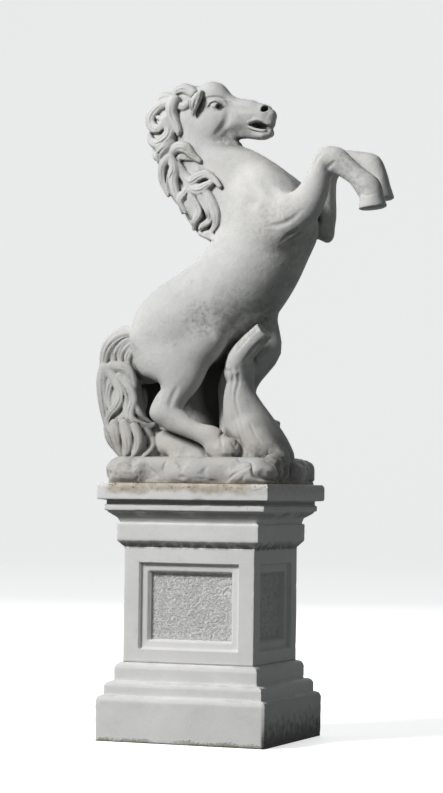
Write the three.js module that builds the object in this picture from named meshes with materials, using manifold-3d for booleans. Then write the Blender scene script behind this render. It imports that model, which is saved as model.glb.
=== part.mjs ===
// Rearing stone horse, cast in one with a tree-trunk support and a rock, on a moulded pedestal.
// Millimetres, +Z up. The horse faces +X, its near side is -Y.
// The origin is the middle of the pedestal's underside.
import * as THREE from 'three';
import { LoftGeometry } from 'three/addons/geometries/LoftGeometry.js';
import { mergeVertices } from 'three/addons/utils/BufferGeometryUtils.js';
import Module from 'manifold-3d';

const wasm = await Module();
wasm.setup();

// Pedestal sizes
const dieHalfLength = 215;
const dieHalfDepth = 187;
const baseTop = 240;
const dieTop = 594;
const capTop = 790;
const jointGap = 0.3;
const panelMargin = 50;
const panelBottom = 281;
const panelTop = 547;
const frameWall = 12;
const frameStep = 16;
const panelInset = 33;
const panelDepth = 30;
const panelProud = 5;

// Mouldings as [how far they stand out from the die's face, height]
const baseProfile = [
	[62, 0], [63, 125], [59, 135], [51, 140], [44, 141], [44, 168], [40, 177], [32, 182],
	[20, 184], [20, 222], [16, 233], [8, 239], [0, baseTop],
];
const capProfile = [
	[0, dieTop + jointGap], [18, 614], [18, 666], [12, 668], [12, 673], [17, 684], [29, 693], [39, 700],
	[42, 706], [48, 707], [48, 723], [43, 725], [43, 738], [66, 740], [66, 781], [61, capTop],
];

// Rock sizes
const rockHalfLength = 274;
const rockHalfDepth = 245;
const rockSides = 28;
const rockSquareness = 11;
const rockLumpFrom = 20;
// Lumps as [size, how many round the rock, how they turn with height]
const rockLumps = [[9, 5, 0.05], [6, 9, -0.11]];
// Layers as [height, how far the outline is drawn in]
const rockLayers = [[capTop + jointGap, 3], [808, 2], [832, 10], [852, 24], [866, 42], [872, 76]];

// Stations: x, y, z of the middle, half the depth seen from the side, half the width,
// and where the section leans, its angle from level in degrees.
const trunkOfHorse = [
	[-230, 0, 1170, 72, 62, -50],
	[-195, 0, 1190, 102, 92, -41],
	[-159, 0, 1210, 126, 118, -33],
	[-84, 0, 1285, 153, 134, -31],
	[-17, 0, 1340, 157, 134, -32],
	[60, 0, 1392, 157, 132, -32],
	[114, 0, 1454, 153, 130, -27],
	[150, 0, 1521, 156, 122, -14],
	[171, 0, 1581, 166, 110, -4],
	[150, 0, 1630, 163, 98, 14],
	[101, 0, 1690, 152, 82, 22],
	[39, 0, 1761, 134, 68, 20],
	[-19, 0, 1825, 114, 58, 8],
	[-57, 0, 1875, 98, 52, -17],
	[-73, 0, 1917, 87, 46, -40],
];
const head = [
	[-84, 0, 1950, 70, 36],
	[-36, 0, 1949, 90, 47],
	[13, 0, 1942, 82, 46],
	[64, 0, 1933, 63, 38],
	[113, 0, 1928, 55, 33],
];
const upperMuzzle = [
	[96, 0, 1948, 34, 32],
	[130, 0, 1955, 27, 31],
	[160, 0, 1952, 25, 30],
	[181, 0, 1944, 22, 27],
	[191, 0, 1937, 10, 16],
];
const lowerJaw = [
	[60, 0, 1894, 30, 32],
	[105, 0, 1889, 20, 26],
	[138, 0, 1884, 17, 22],
	[168, 0, 1880, 19, 21],
	[183, 0, 1885, 10, 13],
];
const nearForearm = [
	[225, -80, 1611, 92, 52],
	[285, -98, 1612, 74, 52],
	[332, -103, 1640, 58, 44],
	[366, -105, 1690, 45, 37],
	[385, -105, 1745, 35, 34],
	[398, -105, 1778, 37, 36],
	[432, -105, 1774, 42, 34],
	[460, -105, 1757, 35, 28],
	[500, -105, 1726, 31, 27],
	[533, -105, 1694, 39, 32],
	[545, -105, 1676, 38, 31],
	[549, -105, 1656, 37, 35],
	[552, -105, 1629, 44, 42],
];
const farForearm = [
	[215, 85, 1600, 84, 50],
	[286, 103, 1592, 50, 46],
	[316, 105, 1626, 42, 42],
	[325, 105, 1690, 32, 36],
	[334, 105, 1750, 29, 33],
	[356, 105, 1792, 36, 34],
	[392, 105, 1801, 33, 31],
	[440, 105, 1799, 28, 27],
	[476, 105, 1783, 36, 31],
	[500, 105, 1745, 29, 31],
	[508, 105, 1718, 28, 35],
	[512, 105, 1678, 38, 42],
];
const hindLeg = [
	[-112, 60, 1232, 96, 48],
	[-106, 74, 1200, 124, 64],
	[-90, 86, 1160, 116, 62],
	[-80, 95, 1112, 82, 50],
	[-88, 100, 1070, 51, 38],
	[-112, 100, 1030, 52, 34],
	[-98, 100, 1000, 54, 33],
	[-54, 100, 976, 43, 29],
	[-10, 100, 956, 37, 28],
	[36, 100, 932, 42, 33],
	[58, 100, 906, 45, 36],
	[86, 100, 864, 52, 43],
];
const farHindShift = -25;
const treeTrunk = [
	[128, 0, 1300, 72, 50],
	[125, 0, 1215, 90, 55],
	[92, 0, 1139, 66, 56],
	[83, 0, 1090, 62, 52],
	[92, 0, 1036, 67, 57],
	[106, 0, 979, 74, 70],
	[130, 0, 912, 96, 92],
	[146, 0, 850, 124, 124],
];
const cutBranch = [
	[92, -25, 1140, 48, 44],
	[122, -48, 1182, 37, 36],
	[158, -58, 1225, 32, 32],
	[194, -60, 1264, 29, 31],
];
const stump = [
	[168, 80, 840, 66, 70],
	[172, 88, 930, 40, 50],
	[174, 92, 996, 30, 36],
];
const rootToe = [
	[150, -60, 955, 46, 46],
	[200, -70, 905, 42, 44],
	[250, -70, 862, 30, 40],
];
const hockMound = [
	[-190, -30, 870, 60, 90],
	[-140, -40, 905, 66, 96],
	[-60, -50, 880, 62, 100],
	[30, -50, 850, 42, 90],
];
const tailCore = [
	[-240, 0, 1235, 34, 34],
	[-300, 0, 1224, 38, 38],
	[-338, 0, 1168, 42, 40],
	[-328, 0, 1110, 58, 42],
	[-309, 0, 1050, 68, 44],
	[-296, 0, 985, 68, 46],
	[-272, 0, 930, 56, 50],
	[-244, 0, 862, 54, 52],
];
// Towards its end the tail swings over to the near side of the rock.
const tailSwing = 95;
const tailTop = 1235;
const tailEnd = 850;
const tailDrift = 0.4;
const earLeaf = [
	[-24, 42, 2014, 12, 12],
	[-33, 54, 1992, 24, 16],
	[-40, 58, 1966, 19, 14],
	[-47, 58, 1942, 5, 6],
];

// Ovals: x, y, z of the middle, then half the length, width and height
const forelock = [-14, 0, 1998, 58, 42, 52];
const cheek = [-12, 30, 1912, 50, 24, 54];
const eyeball = [19, 38, 1969, 13, 11, 11];
const shoulder = [182, 60, 1650, 76, 58, 112];
const haunch = [-112, 66, 1255, 124, 74, 132];

// The mass of hair along the crest, under its locks
const maneBed = [
	[-40, 0, 2000, 22, 32],
	[-92, 0, 1992, 32, 42],
	[-140, 0, 1962, 42, 44],
	[-168, 0, 1912, 44, 42],
	[-166, 0, 1858, 42, 42],
	[-146, 0, 1806, 40, 44],
	[-128, 0, 1758, 38, 48],
	[-104, 0, 1706, 42, 54],
	[-66, 0, 1650, 42, 58],
	[-22, 0, 1594, 30, 50],
	[2, 0, 1560, 20, 40],
];
// Mane locks: x and z of the root, x and z of the tip, how far the lock bows out to the
// left of its run, how many half-waves it makes, half its width
const maneLocks = [
	[-50, 2008, -190, 1986, -26, 1, 18],
	[-62, 1966, -134, 1998, 14, 1, 13],
	[-126, 1990, -108, 1884, 5, 1, 16],
	[-150, 1812, -152, 1686, -14, 1, 16],
	[-128, 1812, -128, 1686, 8, 2, 15],
	[-112, 1772, -86, 1622, -12, 1, 15],
	[-94, 1768, -74, 1630, 12, 2, 14],
	[-68, 1718, -54, 1584, 26, 1, 18],
	[-36, 1708, -26, 1574, 32, 1, 16],
	[-6, 1706, -2, 1562, 28, 1, 16],
	[-128, 1840, -26, 1794, 8, 1, 18],
	[-104, 1790, 46, 1708, -24, 2, 20],
	[-62, 1714, 20, 1722, -12, 1, 15],
	[-30, 1580, 24, 1548, 6, 1, 13],
];
// Curls: x and z of the eye, radius at the root and at the tip, starting angle and sweep
// in degrees, half the width
const maneCurls = [
	[-174, 1938, 44, 12, 62, 330, 16],
	[-180, 1893, 42, 30, 60, -235, 17],
	[-166, 1836, 34, 24, 20, -225, 17],
];
const nearLockRings = 6;
const farLockRings = 4;
const farBroader = 1.3;
const lockSides = 5;
const lockThickness = 0.85;
const rootShare = 0.6;
const swellRate = 1.3;
const swellStart = 0.1;
const tipShare = 0.03;
const lockProud = 2;
const ringReach = 30;
const leastReach = 24;

// Tail strands: guide points x, z, then the half width and distance from the tail's middle
const tailStrands = [
	{ guides: [[-272, 1252], [-352, 1208], [-379, 1115], [-362, 1000], [-336, 930]], width: 20, out: 8 },
	{ guides: [[-280, 1236], [-338, 1150], [-312, 1050], [-332, 965], [-308, 925]], width: 22, out: 32 },
	{ guides: [[-284, 1222], [-292, 1120], [-264, 1040], [-262, 978], [-182, 958]], width: 22, out: 38 },
	{ guides: [[-285, 1208], [-242, 1112], [-236, 1032], [-182, 972]], width: 18, out: 22 },
	{ guides: [[-296, 950], [-250, 910], [-262, 868]], width: 22, out: 44 },
	{ guides: [[-250, 958], [-222, 916], [-222, 866]], width: 20, out: 46 },
	{ guides: [[-206, 952], [-188, 912], [-180, 866]], width: 17, out: 40 },
	{ guides: [[-356, 965], [-330, 905], [-290, 856]], width: 17, out: 12 },
];

// Shapes

function solidOf(geometry) {
	const bare = new THREE.BufferGeometry();
	bare.setAttribute('position', geometry.getAttribute('position'));
	bare.setIndex(geometry.index);
	const merged = mergeVertices(bare, 1e-3);
	return new wasm.Manifold(new wasm.Mesh({
		numProp: 3,
		vertProperties: new Float32Array(merged.attributes.position.array),
		triVerts: new Uint32Array(merged.index.array),
	}));
}

function join(solids) {
	return solids.reduce((whole, solid) => whole.add(solid));
}

// Where a station has no lean, its section stands square to the run of the limb.
function sectionAxis(stations, index) {
	const lean = stations[index][5];
	if (lean !== undefined) {
		const angle = THREE.MathUtils.degToRad(lean);
		return new THREE.Vector3(Math.cos(angle), 0, Math.sin(angle));
	}
	const before = stations[Math.max(index - 1, 0)];
	const after = stations[Math.min(index + 1, stations.length - 1)];
	return new THREE.Vector3(after[2] - before[2], 0, before[0] - after[0]).normalize();
}

function smoothRow(vectors) {
	return new THREE.CatmullRomCurve3(vectors, false, 'catmullrom', 0.5);
}

// The sections of a limb, with further ones between its stations
function ringsOf(stations, between) {
	const middles = smoothRow(stations.map(([x, y, z]) => new THREE.Vector3(x, y, z)));
	const sizes = smoothRow(stations.map(([, , , depth, width]) => new THREE.Vector3(depth, width, 0)));
	const axes = smoothRow(stations.map((_, index) => sectionAxis(stations, index)));
	const count = (stations.length - 1) * between;
	return Array.from({ length: count + 1 }, (_, ring) => {
		const t = ring / count;
		const along = middles.getTangent(t);
		const deep = axes.getPoint(t).normalize();
		const wide = new THREE.Vector3(0, Math.sign(along.z * deep.x - along.x * deep.z), 0);
		return { middle: middles.getPoint(t), size: sizes.getPoint(t), along, deep, wide };
	});
}

function limb(stations, sides = 10, between = 1) {
	const sections = ringsOf(stations, between).map(({ middle, size, deep, wide }) => (
		Array.from({ length: sides }, (_, corner) => {
			const angle = (corner / sides) * Math.PI * 2;
			return middle.clone()
				.addScaledVector(deep, size.x * Math.cos(angle))
				.addScaledVector(wide, size.y * Math.sin(angle));
		})
	));
	return solidOf(new LoftGeometry(sections, { capStart: true, capEnd: true }));
}

function oval([x, y, z, length, width, height], around = 12, up = 8) {
	const ball = new THREE.SphereGeometry(1, around, up);
	ball.rotateX(Math.PI / 2);
	ball.scale(length, width, height);
	ball.translate(x, y, z);
	return solidOf(ball);
}

function mirrored(stations, shift = 0) {
	return stations.map(([x, y, ...rest]) => [x + shift, -y, ...rest]);
}

// A lock swells just past its root and runs out to a blunt point. Each point is x, y, z.
function lockAlong(path, width) {
	const stations = path.map(([x, y, z], index) => {
		const t = index / (path.length - 1);
		const swell = rootShare + (1 - rootShare) * Math.sin(Math.PI * Math.min(1, t * swellRate + swellStart));
		const taper = Math.sqrt(Math.max(1 - t ** 3, tipShare));
		const half = width * swell * taper;
		return [x, y, z, half, half * lockThickness];
	});
	return limb(stations, lockSides);
}

// How far the neck or the bed of the mane reaches from the middle at this place, seen from the side
function sideOfNeck(x, z) {
	let reach = 0;
	for (const { middle, size, along, deep } of neckRings) {
		const gap = new THREE.Vector3(x - middle.x, 0, z - middle.z);
		const share = gap.dot(deep) / size.x;
		if (Math.abs(gap.dot(along)) < ringReach && Math.abs(share) < 1) {
			reach = Math.max(reach, size.y * Math.sqrt(1 - share ** 2));
		}
	}
	return Math.max(reach, leastReach);
}

function bowedPath([rootX, rootZ, tipX, tipZ, bow, waves], rings) {
	const length = Math.hypot(tipX - rootX, tipZ - rootZ);
	const leftX = -(tipZ - rootZ) / length;
	const leftZ = (tipX - rootX) / length;
	return Array.from({ length: rings }, (_, ring) => {
		const t = ring / (rings - 1);
		const swing = bow * Math.sin(Math.PI * waves * t);
		return [
			THREE.MathUtils.lerp(rootX, tipX, t) + leftX * swing,
			THREE.MathUtils.lerp(rootZ, tipZ, t) + leftZ * swing,
		];
	});
}

function curledPath([eyeX, eyeZ, rootRadius, tipRadius, start, sweep], rings) {
	return Array.from({ length: rings }, (_, ring) => {
		const t = ring / (rings - 1);
		const angle = THREE.MathUtils.degToRad(start + sweep * t);
		const radius = THREE.MathUtils.lerp(rootRadius, tipRadius, t);
		return [eyeX + radius * Math.cos(angle), eyeZ + radius * Math.sin(angle)];
	});
}

const neckRings = [...ringsOf(trunkOfHorse, 3), ...ringsOf(maneBed, 3)];

// The far side of the mane and tail is plainer: every other lock, broader and with fewer sections.
function perSide(rows, side) {
	return side < 0 ? rows : rows.filter((_, index) => index % 2 === 0);
}

function mane() {
	const solids = [limb(maneBed)];
	for (const side of [-1, 1]) {
		const rings = side < 0 ? nearLockRings : farLockRings;
		const broader = side < 0 ? 1 : farBroader;
		const paths = [
			...perSide(maneLocks, side).map((row) => ({ path: bowedPath(row, rings), width: row[6] })),
			...maneCurls.map((row) => ({ path: curledPath(row, rings + 2), width: row[6] })),
		];
		for (const { path, width } of paths) {
			const laid = path.map(([x, z]) => [x, side * (sideOfNeck(x, z) + lockProud), z]);
			solids.push(lockAlong(laid, width * broader));
		}
	}
	return solids;
}

function swung([x, y, z, ...sizes]) {
	const swing = tailSwing * THREE.MathUtils.smoothstep(tailTop - z, 0, tailTop - tailEnd);
	return [x + tailDrift * swing, y - swing, z, ...sizes];
}

function tail() {
	const solids = [limb(tailCore.map(swung))];
	for (const side of [-1, 1]) {
		const rings = side < 0 ? nearLockRings : farLockRings;
		for (const { guides, width, out } of perSide(tailStrands, side)) {
			const curve = smoothRow(guides.map(([x, z]) => new THREE.Vector3(x, side * out, z)));
			const path = curve.getPoints(rings - 1).map((point) => swung(point.toArray()));
			solids.push(lockAlong(path, width));
		}
	}
	return solids;
}

function horseHead() {
	const solids = [limb(head, 12, 2), limb(upperMuzzle), limb(lowerJaw), oval(forelock)];
	for (const side of [-1, 1]) {
		for (const [x, y, z, ...size] of [cheek, eyeball]) {
			solids.push(oval([x, side * y, z, ...size], 8, 6));
		}
		solids.push(limb(side < 0 ? mirrored(earLeaf) : earLeaf, 8));
	}
	return solids;
}

function horseBody() {
	const solids = [limb(trunkOfHorse, 18)];
	for (const side of [-1, 1]) {
		for (const [x, y, z, ...size] of [shoulder, haunch]) {
			solids.push(oval([x, side * y, z, ...size], 12, 8));
		}
	}
	solids.push(limb(nearForearm), limb(farForearm));
	solids.push(limb(mirrored(hindLeg)), limb(mirrored(mirrored(hindLeg), farHindShift)));
	return solids;
}

function treeSupport() {
	return [limb(treeTrunk, 12), limb(cutBranch), limb(stump, 8), limb(rootToe, 8)];
}

// The rock is a stack of lumpy outlines that draw in towards the top.
function rockOutline(height, inset) {
	const sections = [];
	for (let corner = 0; corner < rockSides; corner++) {
		const angle = (corner / rockSides) * Math.PI * 2;
		const lump = rockLumps.reduce(
			(sum, [size, around, up]) => sum + size * Math.sin(angle * around + height * up),
			0,
		);
		const across = Math.abs(Math.cos(angle)) ** rockSquareness + Math.abs(Math.sin(angle)) ** rockSquareness;
		const reach = across ** (-1 / rockSquareness);
		const drawn = inset + Math.max(lump, -inset) * Math.min(inset / rockLumpFrom, 1);
		sections.push(new THREE.Vector3(
			(rockHalfLength - drawn) * reach * Math.cos(angle),
			(rockHalfDepth - drawn) * reach * Math.sin(angle),
			height,
		));
	}
	return sections;
}

function rock() {
	const outlines = rockLayers.map(([height, inset]) => rockOutline(height, inset));
	return [
		solidOf(new LoftGeometry(outlines, { capStart: true, capEnd: true })),
		limb(hockMound),
	];
}

function horseOnRock() {
	const whole = join([...horseBody(), ...horseHead(), ...mane(), ...tail(), ...treeSupport(), ...rock()]);
	return whole.decompose().sort((first, second) => second.volume() - first.volume())[0];
}

// A block of the pedestal: rectangles that step out from the die's face.
function mouldedBlock(profile) {
	const sections = profile.map(([out, height]) => {
		const x = dieHalfLength + out;
		const y = dieHalfDepth + out;
		return [[x, y], [-x, y], [-x, -y], [x, -y]].map(([px, py]) => new THREE.Vector3(px, py, height));
	});
	return solidOf(new LoftGeometry(sections, { capStart: true, capEnd: true }));
}

// A sunk panel with a stepped frame, cut in from the face at -Y of a die of this half length and depth.
function panelCut(halfLength, halfDepth, turn) {
	const steps = [[-panelProud, 0], [frameWall, 2], [frameWall + 1, frameStep], [panelDepth, panelInset]];
	const sections = steps.map(([depth, inset]) => {
		const x = halfLength - panelMargin - inset;
		const low = panelBottom + inset;
		const high = panelTop - inset;
		return [[-x, low], [-x, high], [x, high], [x, low]]
			.map(([px, pz]) => new THREE.Vector3(px, -halfDepth + depth, pz));
	});
	const geometry = new LoftGeometry(sections, { capStart: true, capEnd: true });
	geometry.rotateZ(turn);
	return solidOf(geometry);
}

function pedestalDie() {
	let die = mouldedBlock([[0, baseTop + jointGap], [0, dieTop]]);
	for (const half of [0, Math.PI]) {
		die = die.subtract(panelCut(dieHalfLength, dieHalfDepth, half));
		die = die.subtract(panelCut(dieHalfDepth, dieHalfLength, half + Math.PI / 2));
	}
	return die;
}

function meshOf(name, solid, colour) {
	const { vertProperties, triVerts } = solid.getMesh();
	const geometry = new THREE.BufferGeometry();
	geometry.setAttribute('position', new THREE.BufferAttribute(new Float32Array(vertProperties), 3));
	geometry.setIndex(new THREE.BufferAttribute(new Uint32Array(triVerts), 1));
	geometry.computeVertexNormals();
	const stone = new THREE.MeshStandardMaterial({ color: colour, roughness: 0.9, metalness: 0 });
	const mesh = new THREE.Mesh(geometry, stone);
	mesh.name = name;
	return mesh;
}

const statue = new THREE.Group();
statue.add(
	meshOf('horse_on_rock', horseOnRock(), 0xcbc8c2),
	meshOf('pedestal_cap', mouldedBlock(capProfile), 0xc8c6c0),
	meshOf('pedestal_die', pedestalDie(), 0xc4c3bf),
	meshOf('pedestal_base', mouldedBlock(baseProfile), 0xc6c4be),
);

export default statue;
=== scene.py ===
# Rearing stone horse on its pedestal. The horse is modelled as clay in a distance field (millimetres)
# and skinned once; the pedestal is built from its mouldings. Everything is then finished as cast stone.
from math import cos, sin, pi, radians

import bmesh
import bpy
import numpy as np
from mathutils import Matrix, Vector


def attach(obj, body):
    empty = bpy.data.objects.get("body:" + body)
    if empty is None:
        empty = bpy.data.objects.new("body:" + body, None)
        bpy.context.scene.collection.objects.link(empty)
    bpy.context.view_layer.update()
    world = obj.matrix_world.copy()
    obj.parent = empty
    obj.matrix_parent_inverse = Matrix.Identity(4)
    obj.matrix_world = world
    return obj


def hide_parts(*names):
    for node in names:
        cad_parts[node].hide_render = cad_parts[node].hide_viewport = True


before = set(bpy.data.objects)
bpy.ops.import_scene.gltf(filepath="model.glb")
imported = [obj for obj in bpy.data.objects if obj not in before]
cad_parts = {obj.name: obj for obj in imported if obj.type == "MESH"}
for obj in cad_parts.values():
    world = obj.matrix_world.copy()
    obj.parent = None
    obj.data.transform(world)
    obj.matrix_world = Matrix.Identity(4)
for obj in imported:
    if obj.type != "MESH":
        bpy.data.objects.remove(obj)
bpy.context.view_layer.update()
mm = 0.001


# Clay: a distance field that limbs and ovals are pressed on to and carved from

farAway = 400.0
corners = [(dx, dy, dz) for dx in (0, 1) for dy in (0, 1) for dz in (0, 1)]


def softMin(a, b, blend):
    near = np.maximum(blend - np.abs(a - b), 0) / blend
    return np.minimum(a, b) - near * near * blend / 4


def eightCorners(read, f):
    # the mean of the eight corners round a place, weighted by how near each one is
    total = 0
    for dx, dy, dz in corners:
        near = np.abs(1 - dx - f[0]) * np.abs(1 - dy - f[1]) * np.abs(1 - dz - f[2])
        total = total + near * read(dx, dy, dz)
    return total


def catmullRom(rows, steps):
    # the same curve as the solids use, through every row of values
    points = np.array(rows, float)
    padded = np.vstack([2 * points[0] - points[1], points, 2 * points[-1] - points[-2]])
    spans = len(points) - 1
    place = np.linspace(0, spans, spans * steps + 1)
    i = np.minimum(place.astype(int), spans - 1)
    w = (place - i)[:, None]
    a, b, c, d = (padded[i + k] for k in range(4))
    v0, v1 = (c - a) / 2, (d - b) / 2
    return (2 * b - 2 * c + v0 + v1) * w**3 + (-3 * b + 3 * c - 2 * v0 - v1) * w**2 + v0 * w + b


def ringsOf(stations, steps):
    # station: x, y, z, half depth, half width and, if its section leans, its angle from level
    places = np.array([s[:3] for s in stations], float)
    axes = []
    for i, s in enumerate(stations):
        if len(s) > 5:
            axes.append((cos(radians(s[5])), sin(radians(s[5]))))
        else:
            run = places[min(i + 1, len(places) - 1)] - places[max(i - 1, 0)]
            size = max(np.hypot(run[0], run[2]), 1e-6)
            axes.append((run[2] / size, -run[0] / size))
    rows = [list(s[:5]) + list(axis) for s, axis in zip(stations, axes)]
    rings = catmullRom(rows, steps)
    rings[:, 5:] /= np.linalg.norm(rings[:, 5:], axis=1, keepdims=True)
    return rings


class Clay:
    def __init__(self, low, high, cell):
        self.low = np.array(low, float)
        self.cell = cell
        shape = np.ceil((np.array(high) - self.low) / cell).astype(int) + 1
        self.field = np.full(shape, farAway, np.float32)
        self.axes = [(self.low[k] + cell * np.arange(shape[k])).astype(np.float32) for k in range(3)]

    def window(self, low, high):
        first = np.floor((np.array(low) - self.low) / self.cell).astype(int)
        last = np.ceil((np.array(high) - self.low) / self.cell).astype(int) + 1
        first = np.clip(first, 0, self.field.shape)
        last = np.clip(last, first, self.field.shape)
        return tuple(slice(a, b) for a, b in zip(first, last))

    def coordinates(self, window):
        x, y, z = (axis[part] for axis, part in zip(self.axes, window))
        return x[:, None, None], y[None, :, None], z[None, None, :]

    def merge(self, window, distance, blend, carve=False):
        old = self.field[window]
        if carve:
            self.field[window] = -softMin(-old, distance, blend)
        else:
            self.field[window] = softMin(old, distance, blend)

    def blank(self, low, high):
        # an empty field over a window, in which one shape is gathered before it is merged
        whole = self.window(low, high)
        return whole, np.full([part.stop - part.start for part in whole], farAway, np.float32)

    def gather(self, whole, local, window, distance):
        inner = tuple(slice(p.start - w.start, p.stop - w.start) for p, w in zip(window, whole))
        local[inner] = np.minimum(local[inner], distance)

    def limb(self, stations, blend=12, steps=3, rounded=(1, 1), carve=False):
        # a limb of oval sections; rounded: how far each end bulges, as a share of its section
        rings = ringsOf(stations, steps)
        pad = blend + 3 * self.cell
        ends = max(rings[0, 3:5].min(), rings[-1, 3:5].min())
        reach = rings[:, 3:5].max(axis=1)[:, None] + pad + ends
        whole, local = self.blank((rings[:, :3] - reach).min(axis=0), (rings[:, :3] + reach).max(axis=0))
        last = len(rings) - 2
        for i, (a, b) in enumerate(zip(rings[:-1], rings[1:])):
            spans = []
            atEnds = (i == 0) * rounded[0] + (i == last) * rounded[1]
            for ring in (a, b):
                side = np.array([abs(ring[5]) * ring[3], ring[4], abs(ring[6]) * ring[3]])
                side = side + pad + atEnds * ends
                spans += [ring[:3] - side, ring[:3] + side]
            window = self.window(np.min(spans, axis=0), np.max(spans, axis=0))
            if any(part.stop <= part.start for part in window):
                continue
            x, y, z = self.coordinates(window)
            ahead = b[:3] - a[:3]
            flip = 1 if (a[5] + b[5]) * ahead[2] - (a[6] + b[6]) * ahead[0] > 0 else -1
            pastA = ((x - a[0]) * -a[6] + (z - a[2]) * a[5]) * flip
            pastB = ((x - b[0]) * -b[6] + (z - b[2]) * b[5]) * flip
            t = np.clip(pastA / np.maximum(pastA - pastB, 1e-3), 0, 1)
            deep = (x - (a[0] + ahead[0] * t)) * (a[5] + (b[5] - a[5]) * t)
            deep = deep + (z - (a[2] + ahead[2] * t)) * (a[6] + (b[6] - a[6]) * t)
            wide = y - (a[1] + ahead[1] * t)
            depth = a[3] + (b[3] - a[3]) * t
            width = a[4] + (b[4] - a[4]) * t
            flat2 = (deep / depth) ** 2 + (wide / width) ** 2
            slope2 = (deep / depth**2) ** 2 + (wide / width**2) ** 2
            k1 = np.sqrt(flat2)
            distance = k1 * (k1 - 1) / (np.sqrt(slope2) + 1e-6)
            over = np.maximum(np.maximum(-pastA, pastB), 0)
            distance = np.where(over > 0, np.sqrt(np.maximum(distance, 0) ** 2 + over**2), distance)
            tips = (i == 0, -pastA, a, rounded[0]), (i == last, pastB, b, rounded[1])
            for atEnd, past, ring, share in tips:
                if atEnd:
                    cap = max(min(ring[3], ring[4]) * share, 2)
                    k1 = np.sqrt(flat2 + (past / cap) ** 2)
                    k2 = np.sqrt(slope2 + (past / cap**2) ** 2) + 1e-6
                    distance = np.where(past > 0, k1 * (k1 - 1) / k2, distance)
            self.gather(whole, local, window, distance)
        self.merge(whole, local, blend, carve)

    def oval(self, middle, size, blend=12, lean=0, carve=False):
        pad = blend + 3 * self.cell
        reach = max(size[0], size[2]) + pad
        x0, y0, z0 = middle
        side = np.array([reach, size[1] + pad, reach])
        window = self.window(np.array(middle) - side, np.array(middle) + side)
        x, y, z = self.coordinates(window)
        c, s = cos(radians(lean)), sin(radians(lean))
        p = (x - x0) * c + (z - z0) * s
        r = (z - z0) * c - (x - x0) * s
        q = y - y0
        k1 = np.sqrt((p / size[0]) ** 2 + (q / size[1]) ** 2 + (r / size[2]) ** 2)
        k2 = np.sqrt((p / size[0] ** 2) ** 2 + (q / size[1] ** 2) ** 2 + (r / size[2] ** 2) ** 2) + 1e-6
        self.merge(window, k1 * (k1 - 1) / k2, blend, carve)

    def ovalOn(self, side, middle, size, blend, lean=0, carve=False):
        x, y, z = middle
        self.oval((x, side * y, z), size, blend, lean, carve)

    def cord(self, points, radius, blend, carve=False, taper=0.0):
        # a round cord through points x, y, z; its ends thin by the taper
        path = catmullRom(points, 2)
        share = np.linspace(0, 1, len(path))
        sizes = radius * (1 - taper * np.abs(2 * share - 1) ** 2)
        pad = blend + 3 * self.cell
        whole, local = self.blank(path.min(axis=0) - radius - pad, path.max(axis=0) + radius + pad)
        for a, b, ra, rb in zip(path[:-1], path[1:], sizes[:-1], sizes[1:]):
            window = self.window(np.minimum(a, b) - radius - pad, np.maximum(a, b) + radius + pad)
            x, y, z = self.coordinates(window)
            d = b - a
            length = max(float(d @ d), 1e-6)
            t = np.clip(((x - a[0]) * d[0] + (y - a[1]) * d[1] + (z - a[2]) * d[2]) / length, 0, 1)
            gap = (x - a[0] - d[0] * t) ** 2 + (y - a[1] - d[1] * t) ** 2 + (z - a[2] - d[2] * t) ** 2
            self.gather(whole, local, window, np.sqrt(gap) - (ra + (rb - ra) * t))
        self.merge(whole, local, blend, carve)

    def soften(self, times):
        for axis in [0, 1, 2] * times:
            first, last = self.field.take([0], axis), self.field.take([-1], axis)
            padded = np.concatenate([first, self.field, last], axis)
            before, after = [slice(None)] * 3, [slice(None)] * 3
            before[axis], after[axis] = slice(0, -2), slice(2, None)
            self.field = self.field * 0.5 + (padded[tuple(before)] + padded[tuple(after)]) * 0.25

    def laid(self, points, side, lift=0.0, smooth=False, fall=400.0, least=24.0):
        # a path of x, z laid on the clay as seen from one side; past an edge it falls away slowly
        path = catmullRom(points, 4)
        reach = np.array([self.sideAt(x, z, side, least) for x, z in path])
        for i in range(1, len(reach)):
            reach[i] = max(reach[i], reach[i - 1] - fall)
        if smooth:
            reach = np.convolve(np.pad(reach, 2, mode="edge"), np.ones(5) / 5, mode="valid")
        return np.stack([path[:, 0], side * (reach + lift), path[:, 1]], axis=1)

    def score(self, side, points, radius, lift, blend, carve=True, taper=0.7):
        self.cord(self.laid(points, side, lift)[::2], radius, blend, carve, taper)

    def sideAt(self, x, z, side, least=24.0):
        # how far the clay reaches from the middle plane towards one side at this place
        i, k = (int(round((v - self.low[n]) / self.cell)) for v, n in ((x, 0), (z, 2)))
        line = self.field[i, :, k]
        y = self.axes[1]
        inside = np.nonzero(line < 0)[0]
        if len(inside) == 0:
            return least
        j = inside[-1] if side > 0 else inside[0]
        n = j + (1 if side > 0 else -1)
        if not 0 <= n < len(y):
            return least
        cut = line[j] / (line[j] - line[n])
        return max(side * (y[j] + (y[n] - y[j]) * cut), least)

    def sample(self, points):
        place = (points - self.low) / self.cell
        place = np.clip(place, 0, np.array(self.field.shape) - 1.001)
        i, j, k = place.astype(int).T
        return eightCorners(lambda dx, dy, dz: self.field[i + dx, j + dy, k + dz], (place % 1).T)

    def normals(self, points):
        step = self.cell * 0.8
        sides = [self.sample(points + step * axis) - self.sample(points - step * axis) for axis in np.eye(3)]
        slope = np.stack(sides, axis=1)
        return slope / (np.linalg.norm(slope, axis=1, keepdims=True) + 1e-9)

    def skin(self):
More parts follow.
